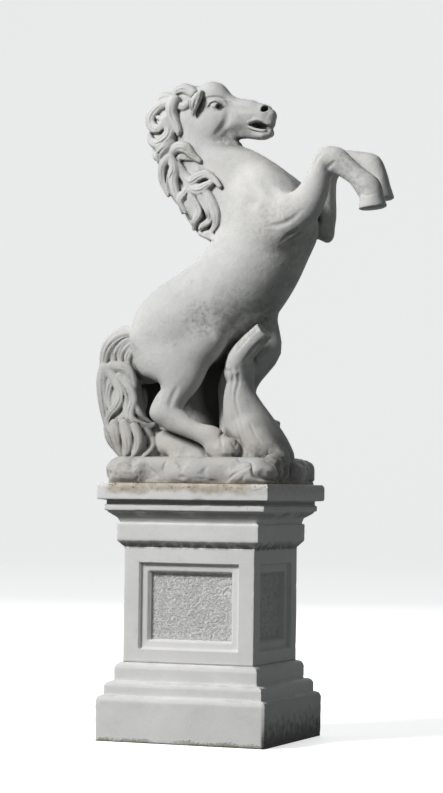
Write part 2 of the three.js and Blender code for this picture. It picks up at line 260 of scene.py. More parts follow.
        # surface nets: one vertex in each cell that the surface crosses, one quad round each crossed edge
        field, inside = self.field, self.field < 0
        nx, ny, nz = (n - 1 for n in field.shape)
        some = np.zeros((nx, ny, nz), bool)
        every = np.ones((nx, ny, nz), bool)
        for dx, dy, dz in corners:
            part = inside[dx:nx + dx, dy:ny + dy, dz:nz + dz]
            some |= part
            every &= part
        cells = np.argwhere(some & ~every)
        index = np.full((nx, ny, nz), -1, np.int32)
        index[tuple(cells.T)] = np.arange(len(cells))
        values = {c: field[tuple((cells + c).T)] for c in corners}
        total, count = np.zeros((len(cells), 3)), np.zeros(len(cells))
        for a in corners:
            for axis in range(3):
                if a[axis]:
                    continue
                b = tuple(v + (k == axis) for k, v in enumerate(a))
                crossed = (values[a] < 0) != (values[b] < 0)
                t = values[a][crossed] / (values[a][crossed] - values[b][crossed])
                spot = np.tile(np.array(a, float), (crossed.sum(), 1))
                spot[:, axis] += t
                total[crossed] += spot
                count[crossed] += 1
        places = self.low + (cells + total / count[:, None]) * self.cell
        quads = []
        for axis in range(3):
            u, v = (axis + 1) % 3, (axis + 2) % 3
            lowPart = [slice(1, n - 1) for n in field.shape]
            highPart = list(lowPart)
            lowPart[axis], highPart[axis] = slice(0, -1), slice(1, None)
            a, b = inside[tuple(lowPart)], inside[tuple(highPart)]
            for flip, hits in ((False, a & ~b), (True, b & ~a)):
                edge = np.argwhere(hits)
                edge[:, u] += 1
                edge[:, v] += 1
                ring = []
                for du, dv in ((1, 1), (0, 1), (0, 0), (1, 0)):
                    cell = edge.copy()
                    cell[:, u] -= du
                    cell[:, v] -= dv
                    ring.append(index[tuple(cell.T)])
                quads.append(np.stack(ring[::-1] if flip else ring, axis=1))
        return places, np.vstack(quads)


def latticeNoise(x, y, z, size, seed):
    # smooth noise between -1 and 1 on a random lattice with cells of this size
    random = np.random.default_rng(seed)
    table = random.uniform(-1, 1, (64, 64, 64)).astype(np.float32)
    cells, parts = [], []
    for value in (x, y, z):
        place = value / size + 1000
        whole = np.floor(place)
        part = place - whole
        cells.append(whole.astype(int))
        parts.append(part * part * (3 - 2 * part))
    i, j, k = cells
    return eightCorners(lambda dx, dy, dz: table[(i + dx) % 64, (j + dy) % 64, (k + dz) % 64], parts)


def newMesh(name, places, faces):
    # places in metres, faces as rows of vertex numbers, all with the same count
    mesh = bpy.data.meshes.new(name)
    faces = np.asarray(faces)
    count, sides = faces.shape
    mesh.vertices.add(len(places))
    mesh.vertices.foreach_set("co", np.asarray(places, np.float32).ravel())
    mesh.loops.add(count * sides)
    mesh.loops.foreach_set("vertex_index", faces.ravel().astype(np.int32))
    mesh.polygons.add(count)
    mesh.polygons.foreach_set("loop_start", np.arange(0, count * sides, sides, dtype=np.int32))
    mesh.polygons.foreach_set("use_smooth", np.full(count, True))
    mesh.update(calc_edges=True)
    mesh.validate()
    piece = bpy.data.objects.new(name, mesh)
    bpy.context.collection.objects.link(piece)
    return piece


def applyModifiers(piece):
    evaluated = piece.evaluated_get(bpy.context.evaluated_depsgraph_get())
    mesh = bpy.data.meshes.new_from_object(evaluated)
    piece.modifiers.clear()
    piece.data = mesh


def vertexArray(mesh, what="co"):
    values = np.empty(len(mesh.vertices) * 3, np.float32)
    mesh.vertices.foreach_get(what, values)
    return values.reshape(-1, 3).astype(float)


def addAttribute(mesh, name, values):
    layer = mesh.attributes.new(name, "FLOAT", "POINT")
    layer.data.foreach_set("value", np.asarray(values, np.float32))


# The horse

horse = {
    "space": [(-420, -275, 775), (625, 275, 2075)],  # two corners of the room for the clay
    "cell": 2.7, "quickCell": 5.5, "triangles": 190000, "openSteps": (4.0, 9.0, 18.0, 34.0),
    "torso": [  # x, y, z, half depth, half width, lean of the section
        [-230, 0, 1170, 72, 62, -50], [-195, 0, 1190, 102, 92, -41], [-159, 0, 1210, 126, 118, -33],
        [-84, 0, 1285, 153, 134, -31], [-17, 0, 1340, 157, 134, -32], [60, 0, 1392, 157, 132, -32],
        [114, 0, 1454, 153, 130, -27], [150, 0, 1521, 156, 122, -14], [171, 0, 1581, 166, 110, -4],
        [150, 0, 1630, 163, 98, 14], [101, 0, 1690, 152, 82, 22], [39, 0, 1761, 134, 68, 20],
        [-19, 0, 1825, 114, 58, 8], [-57, 0, 1875, 98, 52, -17], [-73, 0, 1917, 87, 46, -40],
    ],
    "head": [
        [-84, 0, 1950, 70, 36], [-36, 0, 1949, 90, 47], [13, 0, 1942, 82, 46], [64, 0, 1937, 60, 37],
        [113, 0, 1936, 50, 32],
    ],
    "upperMuzzle": [
        [92, 0, 1948, 36, 33], [126, 0, 1946, 33, 30], [150, 0, 1941, 34, 31], [166, 0, 1936, 32, 29],
        [175, 0, 1932, 26, 24],
    ],
    "lip": [[138, 0, 1928, 12, 29], [162, 0, 1918, 16, 27], [180, 0, 1910, 14, 21]],
    "lowerJaw": [
        [60, 0, 1894, 30, 22], [105, 0, 1888, 21, 18], [138, 0, 1880, 18, 19], [160, 0, 1878, 17, 23],
        [177, 0, 1881, 14, 19],
    ],
    "nearForearm": [
        [225, -80, 1611, 92, 52], [285, -98, 1612, 74, 52], [332, -103, 1640, 58, 44],
        [366, -105, 1690, 45, 37], [385, -105, 1745, 35, 34], [398, -105, 1778, 37, 36],
        [432, -105, 1774, 42, 34], [460, -105, 1757, 35, 28], [500, -105, 1726, 31, 27],
        [533, -105, 1694, 39, 32], [545, -105, 1676, 38, 31], [549, -105, 1656, 37, 35],
        [552, -105, 1629, 44, 42],
    ],
    "farForearm": [
        [205, 80, 1640, 72, 48], [272, 98, 1606, 46, 44], [318, 105, 1592, 36, 38],
        [328, 105, 1636, 33, 36], [328, 105, 1690, 31, 36], [334, 105, 1750, 29, 33],
        [356, 105, 1792, 36, 34], [392, 105, 1801, 33, 31], [440, 105, 1799, 28, 27],
        [476, 105, 1783, 36, 31], [500, 105, 1745, 29, 31], [508, 105, 1718, 28, 35],
        [512, 105, 1678, 38, 42],
    ],
    "hindLeg": [
        [-112, 60, 1232, 96, 48], [-106, 74, 1200, 124, 64], [-90, 86, 1160, 116, 62],
        [-80, 95, 1112, 82, 50], [-89, 100, 1070, 50, 38], [-112, 100, 1030, 50, 34],
        [-100, 100, 998, 46, 33], [-56, 100, 969, 33, 29], [-10, 100, 949, 29, 28], [28, 100, 936, 36, 33],
        [54, 100, 912, 42, 36], [86, 100, 864, 50, 43],
    ],
    "farHindShift": -25, "hoofEnds": (1, 0.15),
    "farElbow": [(333, 105, 1575), (22, 28, 30), 10],
    "muscles": [  # middle x, y, z, half length, width, height, lean, blend
        [182, 60, 1650, 76, 56, 112, 0, 60], [-112, 66, 1255, 124, 72, 132, 0, 60],
        [20, 82, 1235, 52, 46, 62, -30, 45], [250, 42, 1650, 50, 40, 82, 20, 40],
    ],
}


def onSide(side, points):
    return [[x, side * y, *rest] for x, y, *rest in points]


def pressBody(clay):
    clay.limb(horse["torso"], blend=14)
    for side in (-1, 1):
        for x, y, z, length, width, height, lean, blend in horse["muscles"]:
            clay.oval((x, side * y, z), (length, width, height), blend, lean)
    farHindLeg = [[x + horse["farHindShift"], *rest] for x, *rest in horse["hindLeg"]]
    nearHindLeg = onSide(-1, horse["hindLeg"])
    for stations, blend in (
        (nearHindLeg, 34), (farHindLeg, 34), (horse["nearForearm"], 34), (horse["farForearm"], 16),
    ):
        clay.limb(stations, blend, rounded=horse["hoofEnds"])
    clay.oval(*horse["farElbow"])


face = {
    # ovals: middle, size, blend, lean, carved
    "jawHollow": [(86, 42, 1876), (48, 21, 25), 12, -4, True],
    "forelock": [(-16, 0, 1999), (57, 43, 52), 12],
    "cheek": [(-14, 22, 1912), (54, 31, 60), 12],
    "eyeSocket": [(14, 55, 1968), (25, 14, 17), 8, 0, True],
    "eyeball": [(9, 39, 1968), (16, 12, 11.5), 1.2],
    "tear": [(25, 47, 1964), (10, 10, 9), 3, 0, True],
    "nostril": [(168, 28, 1954), (12, 24, 8.8), 2.5, 25, True],
    # lines: way in x and z, radius, lift, blend, carved, taper
    "noseSide": [[(56, 1966), (100, 1956), (140, 1950)], 12, 9, 9, True, 0.5],
    "cheekLine": [[(50, 1966), (54, 1944), (50, 1922), (38, 1900), (20, 1880), (6, 1872)], 11, 7.5, 9],
    "brow": [[(-6, 1977), (12, 1984), (32, 1983), (46, 1971)], 8, -1.5, 7, False],
    "forelockEdge": [[(-32, 1990), (-6, 1995), (20, 1995), (44, 1990), (62, 1981)], 5, 0.5, 2.5, True, 0.4],
    "upperLid": [[(-14, 1967), (-4, 1979), (10, 1984), (25, 1979), (36, 1966)], 4.6, 1.2, 2.5, False, 0.4],
    "lowerLid": [[(-14, 1966), (-2, 1957), (12, 1955), (26, 1959), (36, 1965)], 3.2, 0, 2.5, False, 0.4],
    "upperLip": [[(118, 1915), (132, 1920), (150, 1921), (166, 1913), (178, 1907)], 5, -1, 5, False, 0.4],
    "lowerLip": [[(116, 1901), (134, 1893), (156, 1888), (172, 1888)], 5, -1, 5, False, 0.4],
    "chinGroove": [[(120, 1886), (140, 1880), (156, 1876)], 5, 3, 5],
    # limbs: x, y, z, half depth, half width
    "throat": [[8, 0, 1862, 34, 34], [48, 0, 1853, 22, 30], [74, 0, 1848, 8, 22]],
    "mouth": [  # cut in from each side, so that a wall stays in the middle
        [118, 36, 1906, 2, 22], [134, 36, 1907, 8, 22], [152, 36, 1904, 12.5, 22], [168, 35, 1900, 9, 24],
        [182, 34, 1896, 4, 26],
    ],
    "ear": [
        [-36, 46, 2012, 8, 12], [-42, 57, 1998, 14, 15], [-50, 62, 1976, 15, 14], [-54, 62, 1957, 10, 9],
        [-56, 61, 1942, 4, 5],
    ],
    # cords: points, radius, blend, carved, taper
    "mouthFront": [[(184, 22, 1896), (192, 15, 1896), (196, 0, 1897)], 3.5, 3, True],
    "earHollow": [[(-35, 71, 2002), (-40, 78, 1986), (-46, 76, 1967), (-52, 70, 1951)], 6.5, 2, True, 0.6],
    "earRidge": [[(-54, 70, 1996), (-62, 74, 1976), (-60, 70, 1954)], 3.2, 2, False, 0.5],
}


def pressHead(clay):
    for part, blend in (("head", 26), ("upperMuzzle", 16), ("lip", 9), ("lowerJaw", 14)):
        clay.limb(horse[part], blend)
    for side in (-1, 1):
        clay.ovalOn(side, *face["jawHollow"])
    clay.limb(face["throat"], 16)
    clay.oval(*face["forelock"])
    for side in (-1, 1):
        clay.ovalOn(side, *face["cheek"])
    for side in (-1, 1):
        for line in ("noseSide", "cheekLine", "brow", "forelockEdge"):
            clay.score(side, *face[line])
        for part in ("eyeSocket", "eyeball", "tear"):
            clay.ovalOn(side, *face[part])
        for line in ("upperLid", "lowerLid"):
            clay.score(side, *face[line])
        clay.ovalOn(side, *face["nostril"])
        for line in ("upperLip", "lowerLip", "chinGroove"):
            clay.score(side, *face[line])
        clay.limb(onSide(side, face["mouth"]), blend=3, carve=True)
        points, *cut = face["mouthFront"]
        clay.cord(onSide(side, points), *cut)
    for side in (-1, 1):
        clay.limb(onSide(side, face["ear"]), blend=4)
        for line in ("earHollow", "earRidge"):
            points, *cut = face[line]
            clay.cord(onSide(side, points), *cut)


# Mane and tail: locks made of strands that run together to a point

mane = {
    "full": 1.3, "crest": 17, "groove": (3.2, 1.8, True, 0.75),  # radius, blend, carved, taper
    "bed": [
        [-40, 0, 2000, 22, 30], [-92, 0, 1998, 34, 34], [-140, 0, 1968, 44, 38], [-168, 0, 1912, 46, 40],
        [-166, 0, 1858, 44, 42], [-146, 0, 1806, 38, 44], [-128, 0, 1758, 34, 46], [-104, 0, 1706, 34, 50],
        [-66, 0, 1650, 34, 56], [-22, 0, 1594, 26, 50], [2, 0, 1560, 18, 40],
    ],
    "locks": [  # way of the lock in x and z, half width, how proud it lies, strands
        [[(-68, 2012), (-88, 2024), (-110, 2028), (-140, 2014), (-160, 1998)], 15, 0.2, 2],
        [[(-84, 1976), (-98, 1970), (-118, 1978), (-134, 1996)], 12, 0.2, 2],
        [[(-138, 1998), (-160, 2000), (-184, 1992), (-196, 1980)], 17, 0.2, 1],
        [
            [(-150, 1984), (-178, 1976), (-202, 1956), (-212, 1930), (-196, 1906), (-172, 1906),
             (-166, 1930), (-184, 1940)], 15, 0.5, 2,
        ],
        [[(-126, 1992), (-136, 1960), (-128, 1930), (-110, 1896), (-108, 1884)], 16, 0.7, 2],
        [[(-152, 1932), (-138, 1900), (-150, 1870), (-180, 1856), (-206, 1866), (-216, 1888)], 18, 0.55, 2],
        [[(-140, 1858), (-160, 1838), (-186, 1822), (-198, 1838)], 20, 0.35, 2],
        [[(-160, 1838), (-172, 1812), (-160, 1796)], 16, 0.2, 1],
        [[(-142, 1812), (-164, 1780), (-168, 1746), (-158, 1716), (-150, 1694)], 13, 0.6, 2],
        [[(-134, 1812), (-122, 1776), (-132, 1744), (-142, 1722), (-134, 1696)], 13, 0.75, 2],
        [[(-114, 1772), (-122, 1736), (-114, 1700), (-98, 1664), (-96, 1638)], 13, 0.55, 2],
        [[(-104, 1768), (-78, 1736), (-78, 1706), (-98, 1674), (-82, 1636)], 13, 0.75, 2],
        [[(-74, 1722), (-66, 1690), (-42, 1656), (-34, 1628), (-52, 1602), (-58, 1586)], 14, 0.6, 2],
        [[(-40, 1710), (-14, 1670), (6, 1636), (4, 1610), (-20, 1594), (-32, 1584)], 13, 0.7, 2],
        [[(-12, 1706), (12, 1668), (30, 1630), (30, 1600), (12, 1578), (-8, 1568)], 13, 0.6, 2],
        [[(-34, 1574), (-8, 1566), (14, 1556), (24, 1546)], 12, 0.3, 1],
        [[(-134, 1826), (-108, 1842), (-80, 1836), (-54, 1812), (-30, 1794)], 15, 0.7, 2],
        [[(-118, 1800), (-100, 1812), (-72, 1806), (-48, 1800)], 9, 0.6, 1],
        [
            [(-112, 1786), (-90, 1752), (-64, 1732), (-34, 1744), (-4, 1750), (24, 1734), (46, 1710)],
            14, 0.8, 2,
        ],
        [[(-78, 1726), (-50, 1708), (-22, 1706), (4, 1718), (20, 1726)], 16, 0.7, 2],
    ],
}
tail = {
    "core": [
        [-240, 0, 1235, 38, 34], [-294, 0, 1222, 44, 38], [-324, 0, 1172, 50, 40], [-314, 0, 1110, 62, 42],
        [-303, 0, 1050, 64, 42], [-290, 0, 985, 64, 44], [-270, 0, 930, 54, 48], [-244, 0, 862, 54, 52],
    ],
    "least": {-1: 60, 1: -70}, "swing": 95, "top": 1235, "end": 850, "drift": 0.4, "seenAt": -75,
    "ridge": 19,
    "locks": [
        [[(-226, 1262), (-282, 1252), (-326, 1216), (-342, 1166), (-344, 1120)], 22, 0.0, 2],
        [[(-232, 1250), (-276, 1234), (-306, 1200), (-310, 1156)], 16, 0.1, 1],
        [[(-230, 1238), (-260, 1222), (-284, 1192), (-284, 1150)], 15, 0.1, 1],
        [[(-226, 1226), (-246, 1204), (-260, 1174), (-252, 1140)], 14, 0.1, 1],
        [[(-340, 1150), (-344, 1110), (-340, 1045), (-328, 977), (-312, 950)], 18, 0.3, 2],
        [[(-296, 1136), (-320, 1096), (-326, 1052), (-314, 1012)], 14, 0.1, 2],
        [
            [(-332, 1150), (-296, 1107), (-277, 1066), (-285, 1033), (-309, 1006), (-319, 980), (-308, 954),
             (-282, 942)], 14, 0.8, 2,
        ],
        [[(-290, 1116), (-262, 1076), (-256, 1040), (-262, 1010), (-284, 972)], 15, 0.4, 2],
        [[(-322, 960), (-306, 920), (-284, 880)], 17, 0.3, 2],
        [[(-296, 972), (-286, 930), (-268, 876)], 17, 0.5, 2],
        [[(-262, 972), (-250, 930), (-246, 896), (-254, 872)], 17, 0.6, 2],
        [[(-232, 968), (-222, 926), (-222, 896), (-232, 872)], 15, 0.6, 2],
        [[(-206, 958), (-192, 920), (-192, 892), (-202, 872)], 14, 0.5, 2],
    ],
    "nearLocks": [  # at the tail's inner edge, on the near side alone
        [[(-312, 1156), (-264, 1145), (-242, 1113), (-235, 1077), (-240, 1046)], 16, 0.6, 2],
        [[(-240, 1062), (-232, 1021), (-210, 992), (-176, 976)], 12, 0.5, 2],
        [
            [(-284, 1122), (-252, 1089), (-238, 1045), (-248, 1012), (-243, 986), (-219, 972), (-187, 967),
             (-162, 974)], 14, 0.8, 2,
        ],
    ],
}


def pressLock(clay, path, width, side, strands):
    # one plump lock that ends in a blunt tip, with grooves between its strands
    t = np.linspace(0, 1, len(path))
    half = width * (0.76 + 0.24 * np.sin(pi * np.minimum(1, t * 1.2 + 0.1))) * (1 - 0.5 * t**4)
    run = np.gradient(path, axis=0)
    across = np.stack([run[:, 2], -run[:, 0]], axis=1)
    across /= np.linalg.norm(across, axis=1, keepdims=True) + 1e-9
    stations = [[x, y, z, size, size * 0.95] for (x, y, z), size in zip(path, half)]
    clay.limb(stations, blend=3, steps=1)
    for groove in range(strands):
        off = half * ((groove + 0.5) / strands * 1.3 - 0.55) * (1 - 0.5 * t**2)
        rise = 0.95 * np.sqrt(np.maximum(half**2 - off**2, 0)) + 0.6
        line = path + np.stack([across[:, 0] * off, side * rise, across[:, 1] * off], axis=1)
        clay.cord(line[1:-1:2], *mane["groove"])


def layLock(clay, lock, side, least=24.0):
    points, width, proud, strands = lock
    width *= mane["full"]
    path = clay.laid(points, side, width * (proud * 0.7 - 0.15), True, 4.0, least)
    return path, width, side, strands


def ridgeLocks(stations, width, strands, span):
    # locks that hang down the back of a bed of hair, turn by turn to each side of its middle
    bed = np.array(stations, float)
    run = np.gradient(bed[:, [0, 2]], axis=0)
    run /= np.linalg.norm(run, axis=1, keepdims=True)
    ridge = bed[:, :3].copy()
    ridge[:, [0, 2]] += np.stack([run[:, 1], -run[:, 0]], axis=1) * bed[:, 3:4] * 0.78
    locks = []
    for i in range(len(ridge) - span + 1):
        side = 1 if i % 2 else -1
        way = ridge[i:i + span].copy()
        way[:, 1] += side * (5 + 12 * np.sin(np.linspace(0, pi * 0.95, span)))
        locks.append((catmullRom(way, 4), width, side, strands))
    return locks


def swung(x, y, z):
    t = min(max((tail["top"] - z) / (tail["top"] - tail["end"]), 0), 1)
    swing = tail["swing"] * t * t * (3 - 2 * t)
    return x + tail["drift"] * swing, y - swing, z


def layTailLock(clay, lock, side):
    # the ways are drawn as seen at one depth, so they shift with the depth they land at
    points, width, proud, strands = lock
    least = tail["least"][side]
    if side < 0:
        first = clay.laid(points, side, 0, False, 6.0, least)[::4]
        points = [(x - tail["drift"] * (y - tail["seenAt"]), z) for x, y, z in first]
    else:
        points = [swung(x, 0, z)[::2] for x, z in points]
    return layLock(clay, [points, width, proud, strands], side, least)


# The tree trunk and the rock

tree = {
    "nearStem": [
        [103, -34, 1150, 46, 42], [102, -30, 1116, 40, 42], [99, -30, 1078, 48, 46],
        [106, -28, 1036, 60, 54], [124, -20, 980, 78, 68], [146, -4, 912, 100, 92],
        [150, 0, 850, 124, 124],
    ],
    "farStem": [
        [128, 16, 1300, 74, 44], [132, 20, 1215, 84, 44], [92, 20, 1139, 64, 44], [72, 18, 1090, 62, 44],
        [76, 16, 1036, 62, 48], [90, 10, 960, 70, 60],
    ],
    "cutBranch": [
        [96, -38, 1136, 44, 42], [108, -58, 1176, 38, 37], [152, -72, 1222, 34, 32],
        [206, -80, 1268, 30, 31],
    ],
    "sawn": [[200, -79, 1262, 52, 48], [250, -90, 1306, 60, 60]],
    "stump": [[150, 80, 840, 60, 66], [152, 86, 920, 34, 46], [159, 88, 986, 29, 34]],
    "rootToe": [[150, -60, 955, 46, 46], [200, -70, 905, 42, 44], [250, -70, 862, 30, 40]],
    "webs": [  # the caster's fillings between the far limbs, in deep shadow from the near side
        [[-40, 74, 1150, 70, 24], [-20, 70, 1100, 84, 24], [-20, 70, 1040, 80, 24], [0, 68, 980, 70, 26]],
        [
            [-204, 66, 1150, 56, 22], [-208, 62, 1100, 62, 22], [-204, 56, 1040, 56, 24],
            [-190, 30, 980, 60, 34], [-184, 0, 920, 66, 50],
        ],
    ],
    "fillet": [(-190, 20, 952), (58, 46, 36)],
    "barkCut": (4.5, 1.5, 6),  # radius, lift, blend
    "bark": [  # grooves: x, z
        [(60, 1156), (70, 1120), (66, 1084)], [(84, 1170), (96, 1128), (88, 1088), (92, 1050)],
        [(112, 1150), (112, 1104), (104, 1060), (118, 1010), (146, 950)],
        [(96, 1010), (108, 970), (122, 930), (128, 900)], [(136, 1168), (170, 1206), (196, 1230)],
        [(112, 1196), (150, 1236), (186, 1266)], [(160, 980), (190, 930), (226, 892)],
        [(66, 960), (82, 920), (92, 890)],
    ],
    "knots": [[(80, 1150), 9], [(104, 1134), 7]],
}
rock = {
    "halfLength": 270, "halfDepth": 241, "bottom": 790.3, "top": 870, "soft": 34, "sink": 8,
    "lumps": [(58, 3, 10), (24, 4, 6), (10, 6, 2)],  # size, seed, height
    "creases": (64, 8, 10), "smoothFrom": 910, "leastLump": -2,
    "room": [(-300, -270, 780), (300, 270, 1000)], "edge": 20,
    "mound": [
        [-200, 0, 888, 60, 90], [-140, -5, 905, 66, 96], [-60, -10, 880, 62, 98], [30, -10, 850, 42, 92],
    ],
    "lobes": [  # middle, size, blend
        [(205, -196, 818), (82, 58, 46), 8], [(244, -124, 840), (38, 60, 44), 12],
        [(224, -50, 868), (44, 50, 34), 14], [(-185, -200, 822), (88, 52, 48), 9],
        [(30, -206, 818), (120, 44, 44), 8], [(226, 60, 826), (56, 130, 50), 9],
        [(-226, 60, 822), (56, 150, 50), 9], [(60, 200, 822), (170, 52, 50), 9],
    ],
    "crackCut": (4.5, 1, 5),
    "cracks": [
        [(232, 848), (189, 831), (158, 811), (137, 797)], [(-60, 858), (-66, 832), (-50, 804)],
        [(-130, 846), (-104, 826), (-84, 812)],
    ],
}


def pressTree(clay):
    clay.limb(tree["farStem"], blend=22)
    clay.limb(tree["nearStem"], blend=8)
    for web in tree["webs"]:
        clay.limb(web, blend=14)
    clay.oval(*tree["fillet"], blend=14)
    clay.limb(tree["cutBranch"], blend=9, rounded=(1, 0.06))
    clay.limb(tree["sawn"], blend=1.5, rounded=(0.01, 0.01), carve=True)
    clay.limb(tree["stump"], blend=16, rounded=(1, 0.3))
    clay.limb(tree["rootToe"], blend=20)
    for side in (-1, 1):
        for groove in tree["bark"]:
            clay.score(side, groove, *tree["barkCut"])
        for (x, z), size in tree["knots"]:
            reach = clay.sideAt(x, z, side)
            clay.oval((x, side * (reach - 2), z), (size, 4.5, size * 0.8), 5)
            clay.oval((x, side * (reach + 4), z), (size * 0.45, 4, size * 0.4), 2, carve=True)


def pressRock(clay):
    edge = rock["edge"]
    low = (-rock["halfLength"] - edge, -rock["halfDepth"] - edge, rock["bottom"] - edge)
    high = (rock["halfLength"] + edge, rock["halfDepth"] + edge, rock["top"] + 3 * edge)
    window = clay.window(low, high)
    x, y, z = np.broadcast_arrays(*clay.coordinates(window))
    soft = rock["soft"]
    ex = np.abs(x) - (rock["halfLength"] - soft - rock["sink"])
    ey = np.abs(y) - (rock["halfDepth"] - soft - rock["sink"])
    ez = z - (rock["top"] - soft)
    out = np.sqrt(np.maximum(ex, 0) ** 2 + np.maximum(ey, 0) ** 2 + np.maximum(ez, 0) ** 2)
    box = out + np.minimum(np.maximum(ex, np.maximum(ey, ez)), 0) - soft
    clay.merge(window, box.astype(np.float32), 10)
    for middle, size, blend in rock["lobes"]:
        clay.oval(middle, size, blend)
    clay.limb(rock["mound"], blend=20)


def roughenRock(clay):
    window = clay.window(*rock["room"])
    x, y, z = np.broadcast_arrays(*clay.coordinates(window))
    lumps = sum(latticeNoise(x, y, z, size, seed) * height for size, seed, height in rock["lumps"])
    size, seed, depth = rock["creases"]
    crease = np.clip(1 - np.abs(latticeNoise(x, y, z, size, seed)) * 5, 0, 1)
    lumps += crease * depth * np.clip((x - 120) / 80, 0.2, 1)  # deepest at the right end
    fade = np.clip((rock["smoothFrom"] - z) / 60, 0, 1) * np.clip((z - rock["bottom"]) / 14, 0.2, 1)
    clay.field[window] += (np.maximum(lumps, rock["leastLump"]) * fade).astype(np.float32)


legs = {
    "hock": [(-134, 104, 1008), (34, 28, 26), 24],
    "hoof": [(88, 108, 894), (46, 38, 40), 7],
    "undercut": [
        [(-104, -148, 974), (-74, -142, 950), (-34, -140, 928), (2, -140, 906), (26, -144, 886)],
        13, 4, True, 0.85,
    ],
    "hoofGap": [[(106, -134, 938), (128, -132, 905), (146, -130, 872)], 8, 4, True, 0.6],
    "grooves": [  # on both sides: way in x and z, radius, lift, blend
        [[(112, 1762), (160, 1712), (206, 1660)], 18, 16, 16],
        [[(140, 1668), (168, 1652), (190, 1660)], 18, 16, 16],
        [[(196, 1720), (236, 1690), (262, 1664)], 18, 16, 16],
        [[(-10, 1300), (30, 1268), (52, 1240)], 14, 11, 14],
        [[(-140, 1108), (-134, 1064), (-138, 1030)], 9, 6, 8],
        [[(-60, 1090), (-84, 1050), (-92, 1018)], 9, 6, 8],
        [[(262, 1530), (290, 1548), (326, 1566), (352, 1590)], 7, 2, 6],
        [[(222, 1576), (262, 1578), (306, 1592), (340, 1622)], 8, 5, 8],
    ],
    "nearGrooves": [  # knee and hoof
        [[(372, 1752), (384, 1780), (404, 1798)], 6, 4, 6],
        [[(410, 1742), (428, 1756), (446, 1770)], 6, 4, 6],
        [[(522, 1668), (546, 1662), (570, 1668)], 3.5, 1.2, 3],
    ],
}


def carveBody(clay):
    for side in (-1, 1):
        for groove in legs["grooves"]:
            clay.score(side, *groove)
        for part in ("hock", "hoof"):
            (x, y, z), size, blend = legs[part]
            clay.ovalOn(side, (x + (horse["farHindShift"] if side > 0 else 0), y, z), size, blend)
    for groove in legs["nearGrooves"]:
        clay.score(-1, *groove)


def cutUnderside(clay):
    window = clay.window(clay.low, (1e4, 1e4, rock["bottom"] + 40))
    x, y, z = clay.coordinates(window)
    clay.field[window] = np.maximum(clay.field[window], rock["bottom"] - z)


def keepLargest(piece):
    # a crumb of clay that touches nothing, or a sealed bubble, is left out
    form = bmesh.new()
    form.from_mesh(piece.data)
    waiting = set(form.verts)
    islands = []
    while waiting:
        found = [waiting.pop()]
        island = []
        while found:
            spot = found.pop()
            island.append(spot)
            for line in spot.link_edges:
                other = line.other_vert(spot)
                if other in waiting:
                    waiting.remove(other)
                    found.append(other)
        islands.append(island)
    islands.sort(key=len)
    bmesh.ops.delete(form, geom=[spot for island in islands[:-1] for spot in island], context="VERTS")
    form.to_mesh(piece.data)
    form.free()
    print("one body kept, left out:", [len(island) for island in islands[:-1]])


def makeHorse():
    clay = Clay(*horse["space"], horse["cell"])
    tailBed = [[*swung(*s[:3]), *s[3:]] for s in tail["core"]]
    clay.limb(tailBed, blend=20)
    tailLocks = [layTailLock(clay, lock, side) for side in (-1, 1) for lock in tail["locks"]]
    tailLocks += [layTailLock(clay, lock, -1) for lock in tail["nearLocks"]]
    pressBody(clay)
    clay.soften(2)
    carveBody(clay)
    print("body pressed")
    pressTree(clay)
    pressRock(clay)
    clay.cord(*legs["undercut"])
    clay.cord(*legs["hoofGap"])
    roughenRock(clay)
    for crack in rock["cracks"]:
        clay.score(-1, crack, *rock["crackCut"])
    pressHead(clay)
    print("head, tree and rock pressed")
    clay.limb(mane["bed"], blend=14)
    maneLocks = [layLock(clay, lock, side) for side in (-1, 1) for lock in mane["locks"]]
    ridges = ridgeLocks(tailBed, tail["ridge"], 2, 4) + ridgeLocks(mane["bed"], mane["crest"], 1, 3)
    for path, width, side, strands in ridges + tailLocks + maneLocks:
        pressLock(clay, path, width, side, strands)
    print("mane and tail pressed")
    cutUnderside(clay)
    places, quads = clay.skin()
    piece = newMesh("horse_casting", places * mm, quads)
    triangles = len(quads) * 2
    if triangles > horse["triangles"]:
        thin = piece.modifiers.new("thin", "DECIMATE")
        thin.ratio = horse["triangles"] / triangles
        applyModifiers(piece)
    keepLargest(piece)
    mesh = piece.data
    spots = vertexArray(mesh) / mm
    normals = clay.normals(spots)
    flat = spots[:, 2] < rock["bottom"] + clay.cell
    normals[flat] = vertexArray(mesh, "normal")[flat]
    mesh.normals_split_custom_set_from_vertices(normals)
    # how open each spot is to the air; the material darkens closed spots with dirt and painted shade
    openness = np.zeros(len(spots))
    for step in horse["openSteps"]:
        share = np.clip(clay.sample(spots + normals * step) / step, -0.2, 1)
        openness += share / len(horse["openSteps"])
    addAttribute(mesh, "openness", np.clip(openness, 0, 1))
    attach(piece, "root")
    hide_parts("horse_on_rock")
    print("horse skinned:", triangles, "triangles, then", len(mesh.polygons), "faces")
    return piece


# Pedestal: each block is a net of rows up its moulding and columns round it

pedestal = {
    "halfLength": 215, "halfDepth": 187, "corner": 2.5, "arris": 2.2,
    "spacing": 7, "wave": 1.1, "chip": 3.6,
    "base": [  # out from the die, height
        (62, 0), (63, 125), (59, 135), (51, 140), (44, 141), (44, 168), (40, 177), (32, 182),
        (20, 184), (20, 222), (16, 233), (8, 239), (0, 240),
    ],
    "cap": [
        (0, 594.3), (18, 614), (18, 666), (12, 668), (12, 673), (17, 684), (29, 693), (39, 700),
        (42, 706), (48, 707), (48, 723), (43, 725), (43, 738), (66, 740), (66, 781), (61, 790),
    ],
    "die": [(0, 240.3), (0, 594)],
}
panel = {
    "margin": 50, "low": 281, "high": 547, "spacing": 2.6, "frameSpacing": 6.0,
    "frame": [(0, 0), (3, 12), (27, 14), (30, 30)],  # inset from the frame's edge, depth
    "grain": 6.2, "grainHeight": 1.7, "crumb": 1.3,
}


